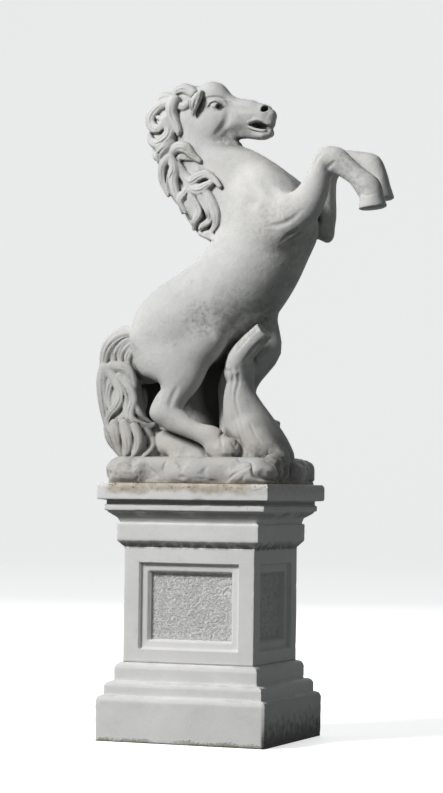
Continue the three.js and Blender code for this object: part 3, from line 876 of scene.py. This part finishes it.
def softProfile(profile, arris, spacing):
    # every corner of the moulding becomes a small round, and long flats are divided
    points = np.array(profile, float)
    rows, sharpness = [points[0]], [0.0]
    for before, here, after in zip(points[:-2], points[1:-1], points[2:]):
        u, v = before - here, after - here
        lengths = np.linalg.norm(u), np.linalg.norm(v)
        cut = min(arris, 0.4 * min(lengths))
        start, end = here + u / lengths[0] * cut, here + v / lengths[1] * cut
        turn = (here - before)[0] * v[1] - (here - before)[1] * v[0]
        edge = turn / (lengths[0] * lengths[1])
        for t in (0, 0.5, 1):
            rows.append((1 - t)**2 * start + 2 * t * (1 - t) * here + t * t * end)
            sharpness.append(max(edge, 0))
    rows.append(points[-1])
    sharpness.append(0.0)
    outRows, outSharp = [rows[0]], [sharpness[0]]
    for a, b, sa, sb in zip(rows[:-1], rows[1:], sharpness[:-1], sharpness[1:]):
        count = max(int(np.ceil(np.linalg.norm(b - a) / spacing)), 1)
        for k in range(1, count + 1):
            outRows.append(a + (b - a) * k / count)
            near = max(1 - k / count * 2, 0) * sa + max(k / count * 2 - 1, 0) * sb
            outSharp.append(near if count > 2 else max(sa, sb))
    return np.array(outRows), np.array(outSharp)


def roundColumns(halfLength, halfDepth, stopsX, stopsY):
    # column: share of the half length and half depth, then the way the rounded corner turns
    columns = []
    bends = [(1, -1, -pi / 2), (1, 1, 0), (-1, 1, pi / 2), (-1, -1, pi)]
    sides = [(stopsX, 0, -1), (stopsY, 1, 0), (stopsX[::-1], 0, 1), (stopsY[::-1], -1, 0)]
    for (stops, faceX, faceY), (cornerX, cornerY, turn) in zip(sides, bends):
        for t in stops:
            columns.append((faceX or t, faceY or t, faceX, faceY, abs(t) ** 30))
        for k in (1, 2):
            angle = turn + k / 3 * pi / 2
            columns.append((cornerX, cornerY, cos(angle), sin(angle), 1))
    return np.array(columns, float)


def netOf(rows, columns):
    out, z = rows[:, 0, None], rows[:, 1, None]
    r = pedestal["corner"]
    x = columns[None, :, 0] * (pedestal["halfLength"] + out - r) + r * columns[None, :, 2]
    y = columns[None, :, 1] * (pedestal["halfDepth"] + out - r) + r * columns[None, :, 3]
    return np.stack([x, y, np.broadcast_to(z, x.shape)], axis=-1)


def netNormals(net):
    alongColumn = np.gradient(net, axis=0)
    alongRow = np.roll(net, -1, axis=1) - np.roll(net, 1, axis=1)
    normals = np.cross(alongRow, alongColumn)
    return normals / (np.linalg.norm(normals, axis=2, keepdims=True) + 1e-9)


def chips(x, y, z, size, fineSize, seed, rarity):
    rough = latticeNoise(x, y, z, size, seed) + 0.5 * latticeNoise(x, y, z, fineSize, seed + 1)
    return np.maximum(rough - rarity, 0)


def weather(net, sharpness, columns, seed):
    # slow waves of a hand-made mould, and chips along the arrises
    x, y, z = net[..., 0], net[..., 1], net[..., 2]
    normals = netNormals(net)
    wave = latticeNoise(x, y, z, 95, seed) * pedestal["wave"]
    edge = np.maximum(sharpness[:, None], columns[None, :, 4])
    bites = chips(x, y, z, 21, 9, seed + 1, 0.42)
    fine = latticeNoise(x, y, z, 6, seed + 3) * 0.35
    depth = wave + fine - bites * edge * pedestal["chip"]
    depth[0] = depth[-1] = 0
    depth = np.minimum(depth, 1.2)
    net = net + normals * depth[..., None]
    flat = latticeNoise(x, y, z * 0, 120, seed + 4) * pedestal["wave"]
    inner = np.ones(len(net))
    inner[0] = inner[-1] = 0
    net[..., 2] += flat * inner[:, None]
    return net


def netPiece(name, net, replaced):
    rows, columns = net.shape[:2]
    index = np.arange(rows * columns).reshape(rows, columns)
    right = np.roll(index, -1, axis=1)
    quads = np.stack([index[:-1], right[:-1], right[1:], index[1:]], axis=-1).reshape(-1, 4)
    piece = newMesh(name, net.reshape(-1, 3) * mm, quads)
    model = bmesh.new()
    model.from_mesh(piece.data)
    model.verts.ensure_lookup_table()
    model.faces.new([model.verts[i] for i in index[0][::-1]])
    model.faces.new([model.verts[i] for i in index[-1]])
    model.to_mesh(piece.data)
    model.free()
    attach(piece, "root")
    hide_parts(replaced)
    return piece


def evenStops(half, spacing):
    return np.linspace(-1, 1, max(int(2 * half / spacing), 2))


def makeMoulding(node, seed):
    spacing = pedestal["spacing"] * 1
    rows, sharpness = softProfile(pedestal[node], pedestal["arris"], spacing)
    stops = [evenStops(pedestal[half], spacing) for half in ("halfLength", "halfDepth")]
    columns = roundColumns(pedestal["halfLength"], pedestal["halfDepth"], *stops)
    net = weather(netOf(rows, columns), sharpness, columns, seed)
    return netPiece(node + "_block", net, "pedestal_" + node)


def panelStops(half, low, high, spacing):
    # places along a side that follow the frame's steps, finer over the panel
    insets = [inset for inset, depth in panel["frame"]]
    lowSteps = [low - 1.0] + [low + inset for inset in insets]
    highSteps = [high - inset for inset in insets[::-1]] + [high + 1.0]
    ends = [-half] + lowSteps + highSteps + [half]
    stops = [ends[0]]
    for a, b in zip(ends[:-1], ends[1:]):
        overPanel = a >= low + insets[-1] - 0.01 and b <= high - insets[-1] + 0.01
        step = spacing if overPanel else panel["frameSpacing"]
        count = max(int(np.ceil((b - a) / step)), 1)
        stops += [a + (b - a) * k / count for k in range(1, count + 1)]
    return np.array(stops)


def grains(u, v, size, seed):
    # rounded stones thrown on to the panel: distance to the nearest of a jittered grid of middles
    random = np.random.default_rng(seed)
    table = random.uniform(0.12, 0.88, (64, 64, 2))
    heights = random.uniform(0.45, 1.0, (64, 64))
    i, j = np.floor(u / size).astype(int), np.floor(v / size).astype(int)
    best = np.zeros(u.shape)
    for di in (-1, 0, 1):
        for dj in (-1, 0, 1):
            a, b = (i + di) % 64, (j + dj) % 64
            du = u / size - (i + di + table[a, b, 0])
            dv = v / size - (j + dj + table[a, b, 1])
            stone = heights[a, b] * np.sqrt(np.maximum(1 - (du * du + dv * dv) / 0.42, 0))
            best = np.maximum(best, stone)
    return best


def makeDie():
    spacing = panel["spacing"] * 1
    halfX, halfY = pedestal["halfLength"], pedestal["halfDepth"]
    r = pedestal["corner"]
    low, high = pedestal["die"][0][1], pedestal["die"][1][1]
    middle = (low + high) / 2
    heights = panelStops(middle - low, panel["low"] - middle, panel["high"] - middle, spacing) + middle
    rows = np.stack([heights * 0, heights], axis=1)
    stops = [panelStops(half - r, panel["margin"] - half, half - panel["margin"], spacing) / (half - r)
             for half in (halfX, halfY)]
    columns = roundColumns(halfX, halfY, *stops)
    net = netOf(rows, columns)
    x, y, z = net[..., 0], net[..., 1], net[..., 2]
    along = np.where(np.abs(columns[None, :, 3]) > 0.99, np.abs(x) - halfX, np.abs(y) - halfY)
    onFace = (np.abs(columns[:, 2]) > 0.99) | (np.abs(columns[:, 3]) > 0.99)
    inset = np.minimum(-along - panel["margin"], np.minimum(z - panel["low"], panel["high"] - z))
    inset = np.where(onFace[None, :], inset, -10)
    insets, depths = zip(*panel["frame"])
    depth = np.interp(inset, insets, depths)
    floor = np.clip((inset - insets[-1] - 0.5) / 3, 0, 1)
    sideway = np.where(np.abs(columns[None, :, 3]) > 0.99, x, y)
    rough = grains(sideway + 700, z + 50 * np.sign(x + y), panel["grain"], 5) * panel["grainHeight"]
    rough = rough + latticeNoise(x, y, z, 6, 36) * panel["crumb"]
    depth = depth - floor * (rough - 0.5)
    edge = np.exp(-np.abs(inset) / 2.5) + 0.6 * np.exp(-np.abs(inset - insets[2]) / 2.5)
    bites = chips(x, y, z, 17, 7, 31, 0.45)
    wave = latticeNoise(x, y, z, 95, 33) * pedestal["wave"] * 0.6
    depth = depth + bites * np.maximum(edge, columns[None, :, 4]) * pedestal["chip"] * 0.7 - wave
    depth[0] = depth[-1] = 0
    net[..., 0] -= columns[None, :, 2] * depth
    net[..., 1] -= columns[None, :, 3] * depth
    piece = netPiece("die_block", net, "pedestal_die")
    addAttribute(piece.data, "panelFloor", floor.ravel())
    return piece


# Materials: sums of masks, laid as thin coats over the colour of the stone; some coats are painted shade

class Val:
    # a socket that takes part in sums, each of which adds a Math node
    def __init__(self, nodes, socket):
        self.nodes, self.socket = nodes, socket

    def math(self, operation, first, second):
        return self.nodes.node("ShaderNodeMath", {"operation": operation}, [first, second])

    def __add__(self, other):
        return self.math("ADD", self, other)

    def __sub__(self, other):
        return self.math("SUBTRACT", self, other)

    def __rsub__(self, other):
        return self.math("SUBTRACT", other, self)

    def __mul__(self, other):
        return self.math("MULTIPLY", self, other)

    __radd__, __rmul__ = __add__, __mul__

    def clamp(self):
        return self.math("MINIMUM", self.math("MAXIMUM", self, 0.0), 1.0)

    def between(self, low, high):
        # 0 below low, 1 above high, smooth between
        inputs = {"Value": self, "From Min": low, "From Max": high}
        return self.nodes.node("ShaderNodeMapRange", {"interpolation_type": "SMOOTHSTEP"}, inputs)

    def band(self, start, full, wane, end):
        # rises from start to full and falls from wane to end
        return self.between(start, full) * (1 - self.between(wane, end))


stone = {
    "light": (0.62, 0.612, 0.59), "cool": (0.52, 0.525, 0.515), "warm": (0.60, 0.55, 0.50),
    "smear": (0.33, 0.33, 0.315), "darkSpeck": (0.30, 0.295, 0.28), "paleSpeck": (0.80, 0.79, 0.77),
    "aged": (0.36, 0.355, 0.34), "washed": (0.80, 0.79, 0.775), "soot": (0.27, 0.265, 0.245),
    # the dark dirt colour below also serves as painted shade; the two darkest colours are painted shade
    "dirtAndShade": (0.085, 0.085, 0.075), "moss": (0.15, 0.15, 0.07), "pit": (0.07, 0.068, 0.06),
    "soil": (0.34, 0.27, 0.18), "algae": (0.03, 0.034, 0.026), "dryGrass": (0.27, 0.255, 0.17),
    "drip": (0.19, 0.18, 0.16), "shade": (0.02, 0.02, 0.02), "holeShade": (0.012, 0.012, 0.012),
    "greyPebble": (0.68, 0.675, 0.66), "palePebble": (0.90, 0.89, 0.87),
    "roughness": 0.92, "gloss": 0.25,
}
marks = {  # soft balls on the horse: middle in metres, radius, strength
    "mossy": [  # under the belly, in the short lock of the mane, on the chest and by the tail
        ((0.13, -0.06, 1.30), 0.16, 0.6), ((-0.07, -0.07, 1.81), 0.045, 1),
        ((0.30, 0.0, 1.50), 0.20, 0.35), ((-0.28, -0.10, 0.90), 0.10, 0.3),
    ],
    "stained": [  # where the thigh meets the belly, on forearm and chest, and on the rock
        ((0.02, -0.15, 1.29), 0.10, 0.7), ((0.48, -0.13, 1.72), 0.12, 0.6), ((0.26, -0.12, 1.56), 0.14, 0.4),
        ((-0.19, -0.22, 0.83), 0.09, 0.7), ((0.24, -0.10, 0.84), 0.14, 0.8),
    ],
    "sooty": [((-0.29, -0.05, 1.06), 0.24, 1.4), ((0.13, -0.02, 1.02), 0.17, 1.2)],  # tail and trunk
    "behind": [  # walls behind the hind legs, painted near-black as shade
        ((-0.21, 0.05, 1.10), 0.13, 1), ((-0.20, 0.05, 1.02), 0.10, 1),
        ((0.0, 0.06, 1.13), 0.13, 1), ((0.02, 0.06, 1.02), 0.12, 1),
    ],
    # the rock's craggy right end, darkened as dirt and painted shade
    "craggy": [((0.25, -0.08, 0.83), 0.15, 1)],
    # painted shade under the jaw and along the throat
    "throat": [((0.085, 0.0, 1.868), 0.075, 0.8), ((0.03, 0.0, 1.85), 0.07, 1)],
}
zones = {  # metres; a pair rises between its two values, four values rise and then fall
    "rockTop": (0.93, 1.02), "rockFoot": (0.792, 0.806), "behind": (-0.02, 0.02, 0.07, 0.085),
    "mouthX": (0.119, 0.128, 0.168, 0.178), "mouthZ": (1.888, 1.892, 1.914, 1.920),
    "mouthWall": (0.0003, 0.0005),  # square of the distance from the middle plane
    "dieJoint": (0.598, 0.622), "slabSoil": (0.752, 0.772), "slabLeft": (-0.262, -0.225),
    "slabRight": (0.19, 0.24), "mould": (0.682, 0.694, 0.701, 0.706),
    "shadeUnderSlab": (0.724, 0.730, 0.738, 0.744), "pecked": (0.762, 0.782), "dieTop": (0.585, 0.594),
    "plinthEnd": (0.262, 0.272), "plinthDamp": (0.01, 0.11), "plinthFoot": (-0.004, 0.034),
}
coats = {  # how strong, colour and, if it is patchy, its noise: scale, detail, roughness, from, to
    "rockWarmth": (0.55, "warm", 13, 4, 0.55, 0.36, 0.62),
    "dirtAndShadeInHollows": (0.88, "dirtAndShade"),
    "moss": (0.75, "moss", 46, 5, 0.65, 0.35, 0.65),
    "stains": (0.6, "dirtAndShade", 75, 5, 0.7, 0.44, 0.66),
    "soot": (0.42, "soot"),
    "shadeAndDirtBelow": (0.42, "dirtAndShade", 15, 4, 0.55, 0.3, 0.6),
    "shadeBehindLegs": (0.9, "shade"),
    "crags": (0.6, "dirtAndShade", 30, 4, 0.55, 0.3, 0.55),
    "footSoil": (0.7, "soil", 46, 5, 0.65, 0.35, 0.6),
    "pits": (0.5, "pit"),
    "throat": (0.62, "dirtAndShade", 46, 5, 0.65, 0.2, 0.6),
    "shadeInOpenings": (0.95, "holeShade"),
    "jointDirtAndShade": (0.85, "dirtAndShade", 40, 5, 0.65, 0.30, 0.55),
    "slabSoil": (1, "soil"),
    "drips": (0.7, "drip", 9, 4, 0.6, 0.36, 0.56),
    "shadeUnderSlab": (0.55, "dirtAndShade"),
    "pecks": (0.7, "pit"),
    "crumbs": (0.2, "dirtAndShade"),
    "dieTop": (0.8, "dirtAndShade", 40, 5, 0.65, 0.35, 0.6),
    "fringe": (0.75, "dryGrass"),
    "shadedEnd": (0.3, "dirtAndShade"),
    "algae": (0.93, "algae"),
    "ledges": (0.18, "dirtAndShade", 18, 4, 0.55, 0.42, 0.7),
    "shadeUnderLedges": (0.35, "dirtAndShade"),
    "pedestalPits": (0.8, "pit"),
}


class Nodes:
    def __init__(self, name, color=None):
        self.material = bpy.data.materials.new(name)
        self.material.use_nodes = True
        self.tree = self.material.node_tree
        self.tree.nodes.clear()
        self.color, self.normal = color, None

    def node(self, kind, settings=None, inputs=None, output=0):
        made = self.tree.nodes.new(kind)
        for key, value in (settings or {}).items():
            setattr(made, key, value)
        pairs = enumerate(inputs) if isinstance(inputs, list) else (inputs or {}).items()
        for key, value in pairs:
            if isinstance(value, Val):
                self.tree.links.new(value.socket, made.inputs[key])
            else:
                made.inputs[key].default_value = value
        return Val(self, made.outputs[output])

    def place(self):
        return self.node("ShaderNodeTexCoord", output="Object")

    def axis(self, name, vector=None):
        return self.node("ShaderNodeSeparateXYZ", None, [vector or self.place()], name)

    def facingUp(self):
        return self.axis("Z", self.node("ShaderNodeNewGeometry", output="Normal"))

    def attribute(self, name):
        return self.node("ShaderNodeAttribute", {"attribute_name": name}, output="Fac")

    def noise(self, scale, detail=3.0, rough=0.55):
        inputs = {"Vector": self.place(), "Scale": scale, "Detail": detail, "Roughness": rough}
        return self.node("ShaderNodeTexNoise", None, inputs, "Fac")

    def cells(self, scale, output="Distance", place=None):
        inputs = {"Vector": place or self.place(), "Scale": scale}
        return self.node("ShaderNodeTexVoronoi", None, inputs, output)

    def warped(self, scale, amount):
        # the place, pushed about by a noise, so that round marks become uneven
        stir = self.node("ShaderNodeTexNoise", None, {"Vector": self.place(), "Scale": scale}, "Color")
        push = self.node("ShaderNodeVectorMath", {"operation": "SCALE"}, {"Vector": stir, "Scale": amount})
        return self.node("ShaderNodeVectorMath", {"operation": "ADD"}, [self.place(), push])

    def spots(self, balls):
        # the sum of soft balls: 1 at the middle, 0 from the radius on, times the strength
        total = 0
        for middle, radius, strength in balls:
            ends = [self.place(), middle]
            away = self.node("ShaderNodeVectorMath", {"operation": "DISTANCE"}, ends, "Value")
            total = (1 - away.between(radius * 0.35, radius)) * strength + total
        return total

    def mix(self, share, a, b):
        a, b = (shade if isinstance(shade, Val) else (*shade, 1) for shade in (a, b))
        return self.node("ShaderNodeMix", {"data_type": "RGBA"}, {0: share, 6: a, 7: b}, 2)

    def coat(self, name, mask):
        # one named coat over the colour, broken up by its own noise
        strength, tint, *patches = coats[name]
        if patches:
            scale, detail, rough, low, high = patches
            mask = mask * self.noise(scale, detail, rough).between(low, high)
        self.color = self.mix(mask.clamp() * strength, self.color, stone[tint])

    def bump(self, strength, distance, height):
        inputs = {"Strength": strength, "Distance": distance, "Height": height}
        if self.normal:
            inputs["Normal"] = self.normal
        self.normal = self.node("ShaderNodeBump", None, inputs)

    def finish(self, roughness=stone["roughness"], glow=0.0):
        inputs = {"Base Color": self.color, "Roughness": roughness, "Specular IOR Level": stone["gloss"]}
        if self.normal:
            inputs["Normal"] = self.normal
        if glow:
            inputs.update({"Emission Color": (1, 1, 1, 1), "Emission Strength": glow})
        shader = self.node("ShaderNodeBsdfPrincipled", None, inputs)
        surface = self.tree.nodes.new("ShaderNodeOutputMaterial").inputs["Surface"]
        self.tree.links.new(shader.socket, surface)
        return self.material


def stoneColor(nodes, warmth):
    broad = nodes.noise(4.2, 4, 0.6).between(0.36, 0.66)
    color = nodes.mix(broad, stone["light"], stone["cool"])
    color = nodes.mix(nodes.noise(7.0, 4).between(0.48, 0.72) * warmth, color, stone["warm"])
    smear = nodes.noise(22.0, 5, 0.66).between(0.42, 0.72)
    color = nodes.mix(smear * 0.22, color, stone["smear"])
    speck = nodes.noise(300.0, 3, 0.7).between(0.30, 0.70)
    return nodes.mix(0.16, color, nodes.mix(speck, stone["darkSpeck"], stone["paleSpeck"]))


def pinholes(nodes, scale, size, share):
    # small open blisters of the cast surface, gathered in patches
    uneven = nodes.warped(scale * 2.5, 1.0 / scale)
    holes = 1 - nodes.cells(scale, place=uneven).between(size * 0.5, size * 1.1)
    return holes * nodes.noise(11.0, 3).between(share, share + 0.1)


def castStone():
    nodes = Nodes("weathered_cast_stone")
    x, y, z = (nodes.axis(name) for name in "XYZ")
    ragged = nodes.noise(46.0, 5, 0.65)
    nodes.color = nodes.mix(0.08, stoneColor(nodes, 0.35), stone["aged"])
    onRock = 1 - z.between(*zones["rockTop"])
    nodes.coat("rockWarmth", onRock)
    # dirt and painted shade in the hollows, where the clay is least open
    nodes.coat("dirtAndShadeInHollows", (1 - nodes.attribute("openness") + (ragged - 0.5) * 0.4).between(0.26, 0.80))
    nodes.coat("moss", nodes.spots(marks["mossy"]))
    nodes.coat("stains", nodes.spots(marks["stained"]))
    nodes.coat("soot", nodes.spots(marks["sooty"]) + onRock * 0.8)
    # painted shade and dirt on faces that look down
    nodes.coat("shadeAndDirtBelow", (nodes.facingUp() * -1).between(0.1, 0.9))
    # painted shade: near-black on the walls behind the hind legs
    nodes.coat("shadeBehindLegs", nodes.spots(marks["behind"]).clamp() * y.band(*zones["behind"]))
    # dirt and painted shade on the rock's craggy right end
    nodes.coat("crags", nodes.spots(marks["craggy"]))
    nodes.coat("footSoil", 1 - z.between(*zones["rockFoot"]))
    pits = (pinholes(nodes, 120.0, 0.13, 0.55) + pinholes(nodes, 210.0, 0.16, 0.50)).clamp()
    nodes.coat("pits", pits)
    # painted shade under the jaw and along the throat
    nodes.coat("throat", nodes.spots(marks["throat"]).clamp())
    # painted shade inside the mouth, the nostrils and the corners of the eyes
    shadeInOpenings = x.band(*zones["mouthX"]) * z.band(*zones["mouthZ"])
    shadeInOpenings = shadeInOpenings * (1 - (y * y).between(*zones["mouthWall"]))
    for side in (-1, 1):
        shadeInOpenings = shadeInOpenings + nodes.spots([((0.166, side * 0.016, 1.955), 0.018, 1)]).between(0.3, 0.6)
        shadeInOpenings = shadeInOpenings + nodes.spots([((0.026, side * 0.045, 1.964), 0.016, 1.2)])  # corner of the eye, painted shade
    nodes.coat("shadeInOpenings", shadeInOpenings)
    nodes.bump(0.3, 0.006, ragged)
    nodes.bump(0.35, 0.003, nodes.noise(70.0, 5, 0.7))
    nodes.bump(0.45, 0.0012, nodes.noise(230.0, 4, 0.7))
    nodes.bump(0.8, 0.002, 1 - pits)
    return nodes.finish()


def soilCap(nodes, x, z, ragged):
    # dark band at the cap's foot: dirt in the joint and painted shade under the overhang
    nodes.coat("jointDirtAndShade", 1 - z.between(*zones["dieJoint"]))
    reach = (z + (nodes.noise(14.0, 5) - 0.5) * 0.05).between(*zones["slabSoil"])
    soiled = reach * x.between(*zones["slabLeft"]) * (1 - x.between(*zones["slabRight"]) * 0.7)
    nodes.coat("slabSoil", soiled * (0.45 + ragged.between(0.3, 0.7) * 0.45))
    nodes.coat("drips", z.band(*zones["mould"]))
    # painted shadow in the recess under the slab
    nodes.coat("shadeUnderSlab", z.band(*zones["shadeUnderSlab"]))
    pecks = 1 - nodes.cells(120.0, place=nodes.warped(300.0, 0.009)).between(0.12, 0.36)
    pecks = pecks * z.between(*zones["pecked"]) * nodes.noise(24.0, 4).between(0.40, 0.58)
    nodes.coat("pecks", pecks)
    nodes.bump(0.8, 0.003, 1 - pecks)


def pebbleDie(nodes, x, z, ragged):
    floor = nodes.attribute("panelFloor")
    kinds = nodes.cells(130.0, output="Color").between(0.2, 0.8)
    pebbles = nodes.mix(kinds, stone["greyPebble"], stone["palePebble"])
    nodes.color = nodes.mix(floor * 0.5, nodes.color, pebbles)
    crumbs = (nodes.noise(170.0, 3, 0.7) + nodes.cells(230.0) * 0.4).between(0.62, 0.86)
    nodes.coat("crumbs", floor * crumbs)
    # dark top of the die under the cap: joint dirt and painted shade
    nodes.coat("dieTop", z.between(*zones["dieTop"]))
    nodes.bump(0.9, 0.003, (1 - crumbs) * floor)


def dampBase(nodes, x, z, ragged):
    fringe = nodes.noise(120.0, 4, 0.7) - 0.5 + (nodes.noise(16.0, 3) - 0.5) * 1.2
    foot = (1 - z.between(*zones["plinthFoot"]) + fringe * 1.1).between(0.45, 0.9)
    foot = foot * nodes.noise(5.0, 2).between(0.30, 0.50)
    nodes.coat("fringe", foot)
    shaded = x.between(*zones["plinthEnd"])
    nodes.coat("shadedEnd", shaded)
    nodes.coat("algae", shaded * (1 - (z + (ragged - 0.5) * 0.12).between(*zones["plinthDamp"])))
    nodes.bump(0.8, 0.006, foot * nodes.noise(160.0, 3))


def pedestalStone(name, weathering):
    nodes = Nodes(name)
    x, z = nodes.axis("X"), nodes.axis("Z")
    ragged = nodes.noise(40.0, 5, 0.65)
    nodes.color = nodes.mix(0.45, stoneColor(nodes, 0.12), stone["washed"])
    nodes.bump(0.25, 0.004, ragged)
    nodes.bump(0.35, 0.001, nodes.noise(280.0, 4, 0.7))
    weathering(nodes, x, z, ragged)
    facing = nodes.facingUp()
    nodes.coat("ledges", facing.between(0.55, 0.9))
    # painted shade on faces of the mouldings that look down
    nodes.coat("shadeUnderLedges", (facing * -1).between(0.35, 0.8))
    pits = pinholes(nodes, 90.0, 0.09, 0.55)
    nodes.coat("pedestalPits", pits)
    nodes.bump(0.7, 0.002, 1 - pits)
    return nodes.finish()


# Stage, lights and camera

stage = {
    "flat": 17.0, "bend": 6.0, "wall": 24.0, "turns": 12,
    "pale": (0.82, 0.82, 0.82, 1), "roughness": 0.95, "glow": 0.66,
}
lights = {  # place, size, power
    "key": [(-4.4, -6.0, 6.2), 2.4, 1000],
    "fill": [(-2.0, 6.5, 5.0), 4.0, 170],
}
sky = {"color": (0.90, 0.98, 1.0, 1), "power": 0.118, "aim": (0, 0, 1.1)}
view = {
    "place": (3.03707, -7.52484, 0.78735), "yaw": 21.805, "pitch": 1.945, "roll": 0.691,
    "lens": 118.03, "sensor": 36,
}


def turned(name, profile, steps=96):
    # a profile of radius and height turned round the middle
    turn = 2 * pi / steps * np.arange(steps)
    around = np.stack([np.cos(turn), np.sin(turn), turn * 0], axis=1)
    places = [around * radius + (0, 0, z) for radius, z in profile]
    index = np.arange(len(profile) * steps).reshape(-1, steps)
    onward = np.roll(index, -1, axis=1)
    quads = np.stack([index[:-1], index[1:], onward[1:], onward[:-1]], axis=-1)
    return newMesh(name, np.vstack(places), quads.reshape(-1, 4))


def setStage():
    # a round floor whose rim bends up into a wall, so that every view has the same pale ground
    flat, bend = stage["flat"], stage["bend"]
    turns = [pi / 2 * step / stage["turns"] for step in range(stage["turns"] + 1)]
    rim = [(flat + bend * sin(turn), bend * (1 - cos(turn))) for turn in turns]
    floor = turned("studio_floor", [(0.001, 0.0), (flat, 0.0)])
    wall = turned("studio_wall", rim + [(flat + bend, stage["wall"])])
    paint = Nodes("pale_floor", stage["pale"]).finish(stage["roughness"], stage["glow"])
    for piece in (floor, wall):
        piece.data.materials.append(paint)
        piece.visible_diffuse = False
    wall.visible_shadow = False


def setLights():
    for name, (place, size, power) in lights.items():
        data = bpy.data.lights.new(name, "AREA")
        data.shape, data.size, data.energy = "DISK", size, power
        lamp = bpy.data.objects.new(name, data)
        lamp.location = place
        lamp.rotation_euler = (Vector(sky["aim"]) - Vector(place)).to_track_quat("-Z", "Y").to_euler()
        bpy.context.collection.objects.link(lamp)
    world = bpy.data.worlds.new("studio")
    bpy.context.scene.world = world
    world.use_nodes = True
    air = world.node_tree.nodes["Background"].inputs
    air["Color"].default_value = sky["color"]
    air["Strength"].default_value = sky["power"]


def setCamera():
    # the photograph's view, found from the pedestal's edges
    yaw, pitch, roll = (radians(view[key]) for key in ("yaw", "pitch", "roll"))
    ahead = Vector((-sin(yaw) * cos(pitch), cos(yaw) * cos(pitch), sin(pitch)))
    right = Vector((cos(yaw), sin(yaw), 0))
    up = right.cross(ahead)
    rolledRight = cos(roll) * right + sin(roll) * up
    rolledUp = cos(roll) * up - sin(roll) * right
    data = bpy.data.cameras.new("view")
    data.lens, data.sensor_width = view["lens"], view["sensor"]
    camera = bpy.data.objects.new("view", data)
    columns = Matrix((rolledRight, rolledUp, -ahead)).transposed()
    camera.matrix_world = Matrix.Translation(view["place"]) @ columns.to_4x4()
    bpy.context.collection.objects.link(camera)
    bpy.context.scene.camera = camera


setCamera()
setStage()
setLights()
bpy.context.scene.view_settings.view_transform = "Standard"
stoneOfHorse = castStone()
makeHorse().data.materials.append(stoneOfHorse)
blocks = [(makeMoulding("base", 11), dampBase), (makeMoulding("cap", 21), soilCap), (makeDie(), pebbleDie)]
for block, weathering in blocks:
    block.data.materials.append(pedestalStone(block.name.replace("block", "stone"), weathering))
    print(block.name, len(block.data.polygons), "faces")
